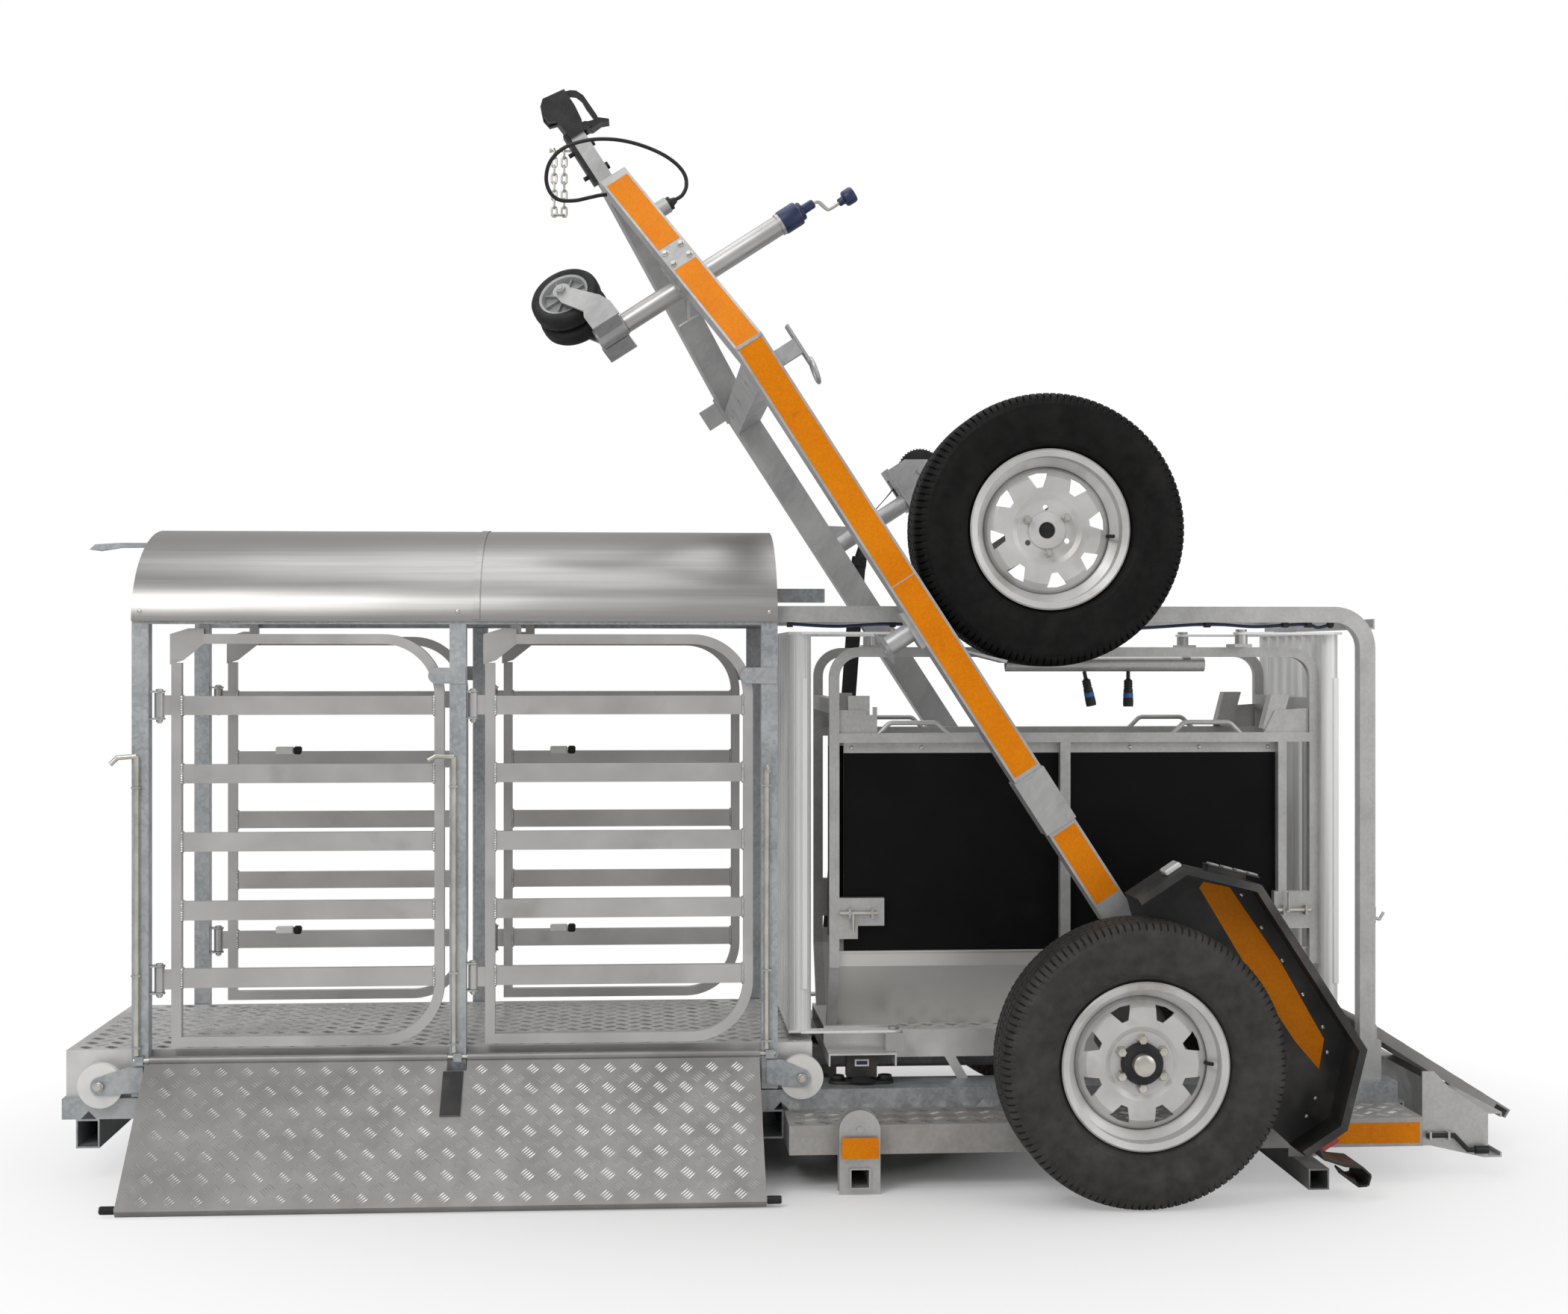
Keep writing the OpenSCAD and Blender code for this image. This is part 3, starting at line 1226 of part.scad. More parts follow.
module jockey_shaft() {
    color(galv) raised() translate([-jockey_x, -jockey_y, 0]) rotate([0, 0, -swivel]) {
        difference() {
            bar_z(0, 0, inner_r, jockey_z0 - 70, jockey_z1 - 120);
            bar_z(0, 0, inner_r - 3, jockey_z0 - 71, jockey_z1 - 119);
        }
        // lower collar of the fork
        difference() {
            bar_z(0, 0, jockey_r + 2, jockey_z0 - 80, jockey_z0 - 2);
            bar_z(0, 0, inner_r, jockey_z0 - 81, jockey_z0 - 1);
        }
        // two bent cheeks
        for (s = [-1, 1]) translate([0, s * fork_w, 0])
            slab_xz(-2.5, 2.5) {
                polygon([[jockey_r, jockey_z0 - 2], [-30, jockey_z0 - 2], [-70, jockey_z0 - 14],
                         [jwheel_x + 8, jwheel_z + 22], [jwheel_x - 8, jwheel_z - 20],
                         [jwheel_x + 40, jwheel_z - 18], [-50, jockey_z0 - 72], [-30, jockey_z0 - 80],
                         [jockey_r, jockey_z0 - 80]]);
                translate([jwheel_x, jwheel_z]) circle(r = 23);
            }
        for (s = [-1, 1]) block(-20, 20, min(s * (jockey_r - 3), s * fork_w),
                                max(s * (jockey_r - 3), s * fork_w), jockey_z0 - 76, jockey_z0 - 6);
        bar_y(jwheel_x, jwheel_z, 8, -fork_w - 14, fork_w + 14);
        for (s = [-1, 1]) bar_y(jwheel_x, jwheel_z, 13, s * (fork_w + 7) - 5, s * (fork_w + 7) + 5);
    }
}

module jockey_wheels() {
    color([0.2, 0.2, 0.2]) raised() translate([-jockey_x, -jockey_y, 0]) rotate([0, 0, -swivel])
        translate([jwheel_x, 0, jwheel_z]) rotate([90, 0, 0]) difference() {
            union() {
                for (s = [-1, 1]) rotate_extrude($fn = 64) translate([0, s * 28])
                    polygon([[14, -s * 26], [14, s * 14], [26, s * 14], [30, s * 4], [62, s * 4],
                             [68, s * 25], [jwheel_r - 8, s * 25], [jwheel_r, s * 17],
                             [jwheel_r, -s * 17], [jwheel_r - 8, -s * 25], [66, -s * 25], [60, -s * 4],
                             [30, -s * 4], [26, -s * 26]]);
                translate([0, 0, -56]) cylinder(r = 18, h = 112);
            }
            translate([0, 0, -57]) cylinder(r = 8 + fit, h = 114);
        }
}

module jockey_crank() {
    color([0.12, 0.16, 0.30]) raised() translate([-jockey_x, -jockey_y, 0]) {
        bar_z(0, 0, jockey_r - 2, jockey_z1 + gap, jockey_z1 + 12);
        bar_z(0, 0, 12, jockey_z1 + 12, jockey_z1 + 46);
        bent_rod([[0, 0, jockey_z1 + 44], [0, 0, jockey_z1 + 54], [34, 0, jockey_z1 + 70],
                  [34, 0, jockey_z1 + 108]], 5);
        bar_z(34, 0, 10, jockey_z1 + 100, jockey_z1 + 118);
        bar_z(34, 0, 21, jockey_z1 + 118, jockey_z1 + 146);
    }
}

/* Winch on the far beam, with its strap to the leg bracket */

winch_x = 1432;
winch_z = 520;
winch_y = beam_mid + 62;
drum_half = 30;
drum_shaft = 9;
gear_r = 66;
gear_teeth = 44;
pinion_teeth = 11;
gear_m = 2 * gear_r / gear_teeth;           // pitch per tooth over pi
pinion_r = gear_m * pinion_teeth / 2;
pinion_x = winch_x - (gear_r + pinion_r) * cos(35);
pinion_z = winch_z - (gear_r + pinion_r) * sin(35);

// A plain toothed wheel outline; phase turns its first tooth
module gear2d(teeth, phase) {
    r = gear_m * teeth / 2;
    circle(r = r - gear_m * 0.55, $fn = 64);
    for (i = [0 : teeth - 1]) rotate(phase + 360 * i / teeth)
        polygon([[r - gear_m * 0.7, -gear_m * 0.68], [r + gear_m * 0.45, -gear_m * 0.26],
                 [r + gear_m * 0.45, gear_m * 0.26], [r - gear_m * 0.7, gear_m * 0.68]]);
}

module winch_frame() {
    color(galv) raised() {
        // post from the far beam, with its gusset
        difference() {
            bar_z(-1380, beam_mid, 24, beam_z + beam_w, 430);
            bar_z(-1380, beam_mid, 20, beam_z + beam_w - 1, 431);
        }
        slab_xz(beam_mid - 4, beam_mid + 4)
            polygon([[-1400, beam_z + beam_w], [-1446, beam_z + beam_w], [-1400, beam_z + beam_w + 66]]);
        // base plate with the strap's slot, and two cheeks
        difference() {
            block(-1490, -1350, beam_mid - 30, winch_y + drum_half + 14, 430, 436);
            block(-1460, -1406, winch_y - 24, winch_y + 24, 429, 437);
        }
        for (y = [winch_y - drum_half - 12, winch_y + drum_half + 9]) slab_xz(y, y + 3) difference() {
            polygon([[-1486, 436], [-1354, 436], [-1354, 500], [-1400, 556], [-1450, 556], [-1486, 500]]);
            translate([-pinion_x, pinion_z]) circle(r = 7 + fit);
        }
        bar_y(-winch_x, winch_z, drum_shaft, winch_y - drum_half - 18, winch_y + drum_half + 18);
    }
}

module winch_drum() {
    color([0.30, 0.31, 0.32]) raised() translate([-winch_x, 0, winch_z]) difference() {
        union() {
            bar_y(0, 0, 42, winch_y - drum_half, winch_y + drum_half);
            slab_xz(winch_y - drum_half - 7, winch_y - drum_half) gear2d(gear_teeth, 0);
            bar_y(0, 0, 60, winch_y + drum_half, winch_y + drum_half + 5);
        }
        bar_y(0, 0, drum_shaft + fit, winch_y - drum_half - 8, winch_y + drum_half + 8);
    }
}

module winch_handle() {
    color(galv) raised() translate([-pinion_x, 0, pinion_z]) {
        slab_xz(winch_y - drum_half - 7, winch_y - drum_half)
            gear2d(pinion_teeth, pinion_phase);
        bar_y(0, 0, 7, winch_y - drum_half - 14, winch_y + drum_half + 30);
        slab_xz(winch_y + drum_half + 24, winch_y + drum_half + 30) {
            circle(r = 14);
            translate([0, -12]) square([150, 24]);
            translate([150, 0]) circle(r = 12);
        }
        bar_y(150, 0, 6, winch_y + drum_half + 30, winch_y + drum_half + 40);
        bar_y(150, 0, 13, winch_y + drum_half + 40, winch_y + drum_half + 130);
    }
}

// The line of centres points 35 degrees below the gear's x axis, towards the pinion
mesh_deg = -35;
gear_step = 360 / gear_teeth;
pinion_step = 360 / pinion_teeth;
// Angle of the gear's nearest tooth off the line, carried over to the pinion half a tooth on
tooth_off = mesh_deg - gear_step * floor(mesh_deg / gear_step);
pinion_phase = mesh_deg + 180 + tooth_off * gear_teeth / pinion_teeth + pinion_step / 2;

strap_w = 44;
strap_t = 3;
drum_left = up(-winch_x, winch_z) + 43.8 * [-0.880, 0.476];   // tangent to the drum
strap_pts = [[drum_left[0], winch_y, drum_left[1]], [drum_left[0] - 39.4, winch_y, drum_left[1] - 72.8],
             [252, winch_y, 1698], [240, winch_y, 1660], [228, winch_y, 1620], [218, winch_y, 1580],
             [210, winch_y, 1540], [204, winch_y, 1500], [bracket_x + 60, bracket_in + 29, 800],
             [bracket_x + 16, bracket_in + 24, 300], [bracket_x, bracket_in + 23, 214]];
strap_turn = [0, 0, 9, 27, 45, 63, 81, 90, 90, 90];

module lift_strap() {
    // every second length a little narrower, so the edges don't share a plane
    color(black) for (i = [0 : len(strap_pts) - 2]) {
        d = strap_pts[i + 1] - strap_pts[i];
        w = strap_w - 0.6 * (i % 2);
        translate(strap_pts[i]) rotate([0, acos(d[2] / norm(d)), atan2(d[1], d[0])])
            rotate([0, 0, strap_turn[i]]) translate([-strap_t / 2, -w / 2, 0])
                cube([strap_t, w, norm(d) + 1]);
    }
    // flat link that takes the strap to the bracket pin
    color(bright) difference() {
        slab_xz(bracket_in + bracket_t + 12, bracket_in + bracket_t + 18) {
            translate([bracket_x, bracket_hole_z]) circle(r = 20);
            translate([bracket_x - 20, bracket_hole_z]) square([40, 60]);
        }
        bar_y(bracket_x, bracket_hole_z, 8 + fit, bracket_in, bracket_out);
    }
}

/* Road wheels and the spare */

spare_x = 1141;
spare_z = beam_z + beam_w + 7 + tyre_r;
spare_in = arch_y + arch_w / 2 + 8;         // hanger clear of the arch that the drawbar folds past

// Section of the tyre, from the centre line of its width outwards
module tyre_section() {
    w = tyre_w / 2;
    b = rim_r - 14;
    difference() {
        polygon([[b, -w * 0.70], [rim_r + 4, -w * 0.70], [rim_r + 18, -w * 0.94], [(b + tyre_r) / 2 + 4, -w],
                 [tyre_r - 34, -w * 0.93], [tyre_r - 13, -w * 0.80], [tyre_r, -w * 0.60],
                 [tyre_r, w * 0.60], [tyre_r - 13, w * 0.80], [tyre_r - 34, w * 0.93],
                 [(b + tyre_r) / 2 + 4, w], [rim_r + 18, w * 0.94], [rim_r + 4, w * 0.70], [b, w * 0.70]]);
        polygon([[b - 1, -w * 0.56], [b + 26, -w * 0.56], [b + 40, -w * 0.80], [tyre_r - 44, -w * 0.80],
                 [tyre_r - 16, -w * 0.62], [tyre_r - 16, w * 0.62], [tyre_r - 44, w * 0.80],
                 [b + 40, w * 0.80], [b + 26, w * 0.56], [b - 1, w * 0.56]]);
    }
}

module tyre(y) {
    translate([0, y, 0]) rotate([90, 0, 0]) rotate_extrude($fn = 96) tyre_section();
}

groove = tyre_w * 0.36;
// Rim with eight three-cornered windows; face is -1 where its open side looks to -y
module rim(y, face, bolt_holes) {
    r = rim_r - 14 - 0.5;
    translate([0, y, 0]) rotate([90 * -face, 0, 0]) {
        rotate_extrude($fn = 96)
            polygon([[rim_r - 4, -groove - 8], [rim_r, -groove - 5], [rim_r - 3, -groove],
                     [r, -groove + 1], [r, -30], [r - 20, -18], [r - 20, 18], [r, 30], [r, groove - 1],
                     [rim_r - 3, groove], [rim_r, groove + 5], [rim_r - 4, groove + 8],
                     [r - 4, groove + 2], [r - 4, 33], [r - 25, 20], [r - 25, -20], [r - 4, -33],
                     [r - 4, -groove - 2]]);
        difference() {
            rotate_extrude($fn = 96)
                polygon([[34, 30], [74, 30], [86, 36], [r - 50, 40], [r - 34, 30], [r - 25, 14],
                         [r - 25, 8], [r - 38, 24], [r - 52, 35], [86, 31], [74, 24], [34, 24]]);
            for (i = [0 : 7]) rotate([0, 0, 45 * i + 22]) translate([0, 0, 20])
                linear_extrude(30) polygon([[r - 76, -8], [r - 44, -25], [r - 40, 0], [r - 44, 25],
                                            [r - 76, 8]]);
            if (bolt_holes) for (i = [0 : 5]) rotate([0, 0, 60 * i + 30]) translate([56, 0, 10])
                cylinder(r = 7, h = 40);
        }
    }
}

// Hub, cap and bolts turn with each road wheel
module hub(y, s) {
    color(black) difference() {
        union() {
            bar_y(0, 0, 46, min(y + s * 26, y + s * 44), max(y + s * 26, y + s * 44));
            bar_y(0, 0, 32, min(y - s * 95, y + s * 26), max(y - s * 95, y + s * 26));
            bar_y(0, 0, 70, min(y + s * 10, y + s * 27), max(y + s * 10, y + s * 27));
        }
        bar_y(0, 0, 20 + fit, min(y - s * 96, y + s * 42), max(y - s * 96, y + s * 42));
    }
    color(bright) {
        bar_y(0, 0, 24, min(y + s * 44, y + s * 66), max(y + s * 44, y + s * 66));
        for (i = [0 : 5]) bar_y(56 * cos(60 * i + 30), 56 * sin(60 * i + 30), 9,
                                min(y + s * 28, y + s * 42), max(y + s * 28, y + s * 42));
    }
}

module at_axle() translate([axle_x, 0, axle_z]) children();
module near_tyre() color(black) at_axle() tyre(-track_half);
module far_tyre() color(black) at_axle() tyre(track_half);
module near_rim() at_axle() {
    color(bright) rim(-track_half, -1, false);
    hub(-track_half, -1);
}
module far_rim() at_axle() mirror([0, 1, 0]) {
    color(bright) rim(-track_half, -1, false);
    hub(-track_half, -1);
}
spare_y = -spare_in - 1 - tyre_w / 2;
module spare_tyre() color(black) raised() translate([-spare_x, 0, spare_z]) tyre(spare_y);
module spare_rim() color(bright) raised() translate([-spare_x, 0, spare_z]) rim(spare_y, -1, true);

base_rails();
cross_beams();
side_steps();
leg_brackets();
union() { entry_frame(); entry_hinge(); }
draft_floor();
load_cells();
crate_floor();
union() {
    crate_frames();
    bolt_keeper(leg_left + 46, bolt_z);
    bolt_keeper(leg_right - 74, bolt_z);
}
side_panels();
lower_sheets();
lift_hooks();
outer_arches();
sensor_cable();
door_pivots();
entry_ramp();
ramp_lever();
exit_door_near();
exit_door_far();
entry_door_near();
entry_door_far();
slide_bolt_left();
slide_bolt_right();
module_posts();
module_rails();
canopy();
hinge_pins();
roller_forks();
gate_left_near();
gate_right_near();
gate_left_far();
gate_right_far();
near_ramp();
far_ramp();
rollers_left();
rollers_right();
drop_rod_left();
drop_rod_middle();
drop_rod_right();
union() { drawbar_frame(); jockey_clamp(); }
mudguards();
union() { coupling_body(); handle_upright(); }
coupling_handle();
safety_chain();
trailer_cable();
trailer_plug();
jockey_tube();
jockey_shaft();
jockey_wheels();
jockey_crank();
winch_frame();
winch_drum();
winch_handle();
lift_strap();
spare_rim();
spare_tyre();
near_rim();
near_tyre();
far_rim();
far_tyre();
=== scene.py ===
# %% [markdown]
# # A mobile sheep drafting crate
# The exact model gives every tube, plate and wheel its place. This lesson dresses it: tread bars, tyres, weld
# beads, bolts, tape, leads and finishes. The camera stands where the photograph's camera stood, level and
# turned a little to the right, because that angle was measured from the floor lines.

from math import cos, pi, radians, sin

import bmesh
import bpy
import numpy as np
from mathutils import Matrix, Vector


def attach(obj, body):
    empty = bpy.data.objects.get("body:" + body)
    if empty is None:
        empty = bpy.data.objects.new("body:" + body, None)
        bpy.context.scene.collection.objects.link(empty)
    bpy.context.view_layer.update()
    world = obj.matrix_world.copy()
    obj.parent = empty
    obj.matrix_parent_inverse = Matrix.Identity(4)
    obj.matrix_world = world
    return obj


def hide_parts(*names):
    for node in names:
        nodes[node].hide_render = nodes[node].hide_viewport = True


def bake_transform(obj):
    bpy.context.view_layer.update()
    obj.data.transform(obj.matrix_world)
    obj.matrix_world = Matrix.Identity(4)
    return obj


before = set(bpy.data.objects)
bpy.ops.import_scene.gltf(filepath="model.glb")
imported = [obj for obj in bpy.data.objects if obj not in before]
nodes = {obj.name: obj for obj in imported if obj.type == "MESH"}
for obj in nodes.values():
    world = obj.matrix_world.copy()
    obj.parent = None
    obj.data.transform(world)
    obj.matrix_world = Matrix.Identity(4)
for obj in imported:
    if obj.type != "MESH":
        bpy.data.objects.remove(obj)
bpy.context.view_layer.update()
scene = bpy.context.scene
camera = bpy.data.objects.new("camera", bpy.data.cameras.new("camera"))
scene.collection.objects.link(camera)
camera.location = (-0.431, -5.760, 1.275)
camera.rotation_euler = (radians(90), 0, radians(-3.77))
camera.data.lens = 50.13
camera.data.sensor_width = 36
scene.camera = camera
print("nodes in the frame:", len(nodes))

# %% [markdown]
# Most pieces are one of three families: a profile turned round an axis, a section carried along a path, or a
# small part copied to many places. A shape here is a pair: an array of points and a list of faces. Joining
# shapes is then only a matter of adding an offset to the face numbers.

# %% Shapes as arrays
def grid(nu, nv, loop_u=False, loop_v=False):
    """Quads of a grid: each point is joined with its next along u, along v and along both."""
    u, v = np.meshgrid(np.arange(nu if loop_u else nu - 1), np.arange(nv if loop_v else nv - 1), indexing="ij")
    u1, v1 = (u + 1) % nu, (v + 1) % nv
    return np.stack([u * nv + v, u1 * nv + v, u1 * nv + v1, u * nv + v1], -1).reshape(-1, 4).tolist()


def join(shapes):
    """One shape of many: points end to end, face numbers raised by the points before them."""
    points, faces, start = [], [], 0
    for p, f in shapes:
        points.append(p)
        faces += [[i + start for i in face] for face in f]
        start += len(p)
    return np.concatenate(points), faces


def copies(shape, places, bases):
    """Copies of a small shape: point = place + base applied to the point, for every place at once."""
    p, f = shape
    places = np.asarray(places, float)
    bases = np.broadcast_to(bases, (len(places), 3, 3))
    points = places[:, None, :] + np.einsum("nij,kj->nki", bases, p)
    faces = (np.arange(len(places))[:, None, None] * len(p)).ravel()
    return points.reshape(-1, 3), [[i + s for i in face] for s in faces for face in f]


def lathe(profile, sides=48, closed=False):
    """A profile of (radius, height) turned round z: x = r cos a, y = r sin a. A closed profile makes a ring."""
    r, z = np.asarray(profile, float).T
    a = np.linspace(0, 2 * pi, sides, endpoint=False)[:, None]
    points = np.stack([r * np.cos(a), r * np.sin(a), z + 0 * a], -1).reshape(-1, 3)
    faces = grid(sides, len(r), loop_u=True, loop_v=closed)
    if not closed:
        faces += [[i * len(r) for i in range(sides)], [i * len(r) + len(r) - 1 for i in range(sides)]]
    return points, faces


def smooth_line(points, n):
    """A line through the given points: each span is a cubic whose slope at a point is half the step between
    its two neighbours (Catmull and Rom's rule), sampled n times in all."""
    p = np.asarray(points, float)
    p = np.concatenate([[2 * p[0] - p[1]], p, [2 * p[-1] - p[-2]]])
    t = np.linspace(0, len(p) - 3, n)
    i = np.minimum(t.astype(int), len(p) - 4)
    t = (t - i)[:, None]
    a, b, c, d = (p[i + k] for k in range(4))
    return 0.5 * (2 * b + (c - a) * t + (2 * a - 5 * b + 4 * c - d) * t**2 + (3 * b - a - 3 * c + d) * t**3)


def unit(v):
    """Vectors divided by their length."""
    return v / np.linalg.norm(v, axis=-1, keepdims=True)


def sweep(path, section, across=(0, 1, 0), scale=1.0, closed=False):
    """A section carried along a path: point = path + s * side + t * up, where side is square to the run and to
    up, and up is the across direction made square to the run."""
    path, section = np.asarray(path, float), np.asarray(section, float)
    if closed:
        run = unit(np.roll(path, -1, 0) - np.roll(path, 1, 0))
    else:
        run = unit(np.gradient(path, axis=0))
    side = unit(np.cross(run, np.broadcast_to(across, run.shape)))
    up = np.cross(side, run)
    scale = np.broadcast_to(scale, len(path))[:, None, None]
    points = path[:, None] + scale * (section[:, :1] * side[:, None] + section[:, 1:] * up[:, None])
    n, m = len(path), len(section)
    faces = grid(n, m, loop_u=closed, loop_v=True)
    if not closed:
        faces += [list(range(m)), list(range((n - 1) * m, n * m))]
    return points.reshape(-1, 3), faces


def circle(r, n=12):
    """Points of a circle."""
    a = np.linspace(0, 2 * pi, n, endpoint=False)
    return np.stack([r * np.cos(a), r * np.sin(a)], -1)


print("a ring of 8 sides has", len(lathe([(1, 0), (2, 0), (2, 1)], 8, True)[1]), "faces")

# %% [markdown]
# Folded plate and square bar are boxes whose edges are never quite sharp. A chamfer of about a millimetre
# catches the light along each edge. Every corner becomes three points, one on each face it belongs to.

# %% Chamfered boxes, bolts and weld beads
signs = np.array([[x, y, z] for x in (-1, 1) for y in (-1, 1) for z in (-1, 1)], float)
BOX_SIGN = np.repeat(signs, 3, axis=0)
BOX_INSET = np.tile(1 - np.eye(3), (8, 1))
BOX_FACES = [[c * 3, c * 3 + 1, c * 3 + 2] for c in range(8)]
for k, (i, j) in enumerate([(4, (1, 2)), (2, (0, 2)), (1, (0, 1))][n] for n in range(3)):
    low = [c for c in range(8) if signs[c][k] < 0]
    order = [low[0], low[1], low[3], low[2]]
    BOX_FACES += [[c * 3 + k for c in order], [(c + i) * 3 + k for c in order]]
    BOX_FACES += [[c * 3 + j[0], (c + i) * 3 + j[0], (c + i) * 3 + j[1], c * 3 + j[1]] for c in low]


def box(low, high, edge=0.001):
    """A chamfered box: centre + sign * (half size - edge on the two axes that a point's face doesn't face)."""
    low, high = np.asarray(low, float), np.asarray(high, float)
    half = (high - low) / 2
    return (low + high) / 2 + BOX_SIGN * (half - BOX_INSET * min(edge, half.min() * 0.9)), BOX_FACES


def bar(a, b, across, width, thick, edge=0.001):
    """A chamfered box from a to b: its width runs along across made square to its length."""
    a, b = np.asarray(a, float), np.asarray(b, float)
    run = unit(b - a)
    up = unit(np.cross(run, across))
    p, f = box((0, -width / 2, -thick / 2), (np.linalg.norm(b - a), width / 2, thick / 2), edge)
    return a + p @ np.array([run, np.cross(up, run), up]), f


def plate_xz(outline, y0, y1):
    """A flat plate: its outline in x and z, and its two faces at y0 and y1."""
    n = len(outline)
    p = np.stack([np.tile(outline[:, 0], 2), np.repeat([y0, y1], n), np.tile(outline[:, 1], 2)], -1)
    return p, grid(2, n, loop_v=True) + [list(range(n)), list(range(n, 2 * n))]


def facing(normal):
    """A square frame whose third column is the given direction."""
    n = unit(np.asarray(normal, float))
    s = unit(np.cross(n, (0.13, 0.27, 0.95) if abs(n[2]) < 0.9 else (1, 0.1, 0)))
    return np.stack([s, np.cross(n, s), n], -1)


def bolts(places, normal, r=0.008, washer=1.0):
    """Hexagon heads on washers: a six-sided turned profile whose top edge is cut to a cone, on a flat ring."""
    head = lathe([(r, 0), (r, r * 0.55), (r * 0.86, r * 0.7)], 6)
    ring = lathe([(r * 1.3, 0), (r * 1.3, r * 0.13), (r * 1.2, r * 0.2)], 16)
    return copies(join([ring, (head[0] + (0, 0, r * 0.15), head[1])] if washer else [head]), places, facing(normal))


def rivets(places, normal, r=0.004):
    """Domed heads: height = the cosine of the way to the rim."""
    t = np.linspace(pi / 2, 0.15, 5)
    return copies(lathe(np.stack([r * np.sin(t), r * 0.5 * np.cos(t)], -1), 10), places, facing(normal))


def bead(a, b, r=0.0025, across=(0.31, 0.17, 0.93)):
    """A weld bead: a thin rod whose radius swells and shrinks every two radii along its run."""
    length = np.linalg.norm(np.subtract(b, a))
    n = max(8, int(length / r * 1.6))
    path = np.linspace(a, b, n)
    swell = 1 + 0.2 * np.sin(np.arange(n) * 2.1) + 0.08 * np.sin(np.arange(n) * 0.37)
    swell[[0, -1]] = 0.4
    return sweep(path, circle(r, 6), across, swell)


def placed(shape, at=(0, 0, 0), turn=np.eye(3)):
    """A shape turned by a matrix and then moved."""
    return shape[0] @ turn.T + at, shape[1]


def mirror(shape):
    """The same shape on the other side of the centre plane."""
    return shape[0] * (1, -1, 1), [face[::-1] for face in shape[1]]


def both(shape):
    """A shape and its mirror image."""
    return join([shape, mirror(shape)])


print("points in a chamfered box:", len(BOX_SIGN))

# %% [markdown]
# The carriage is drawn as it stands when it is towed, with its axle at the origin and the drawbar pointing
# along minus x, and is then turned up by 57 degrees. Working in the towing position keeps every number
# simple: a bolt on the beam only needs its distance from the axle.

# %% The raised carriage
AXLE = np.array([0.729, 0, 0.333])
TRACK_HALF = 0.734
TILT = radians(57)
UP = np.array([[cos(TILT), 0, sin(TILT)], [0, 1, 0], [-sin(TILT), 0, cos(TILT)]])


def raised(shape):
    """Towing position to standing position: axle + turned point."""
    return AXLE + shape[0] @ UP.T, shape[1]


print("nose of the drawbar at", raised((np.array([(-2.655, 0, 0.166)]), []))[0].round(3).tolist())

# %% [markdown]
# A finish is a small node tree that reads Object coordinates, so that it stays put on the piece from any
# side. Galvanised steel shows a mottle of zinc crystals, brushed aluminium shows fine streaks, rubber shows
# dust. One function builds them all from a base colour, a second colour and the size of the pattern.

# %% Finishes
FINISH = {}


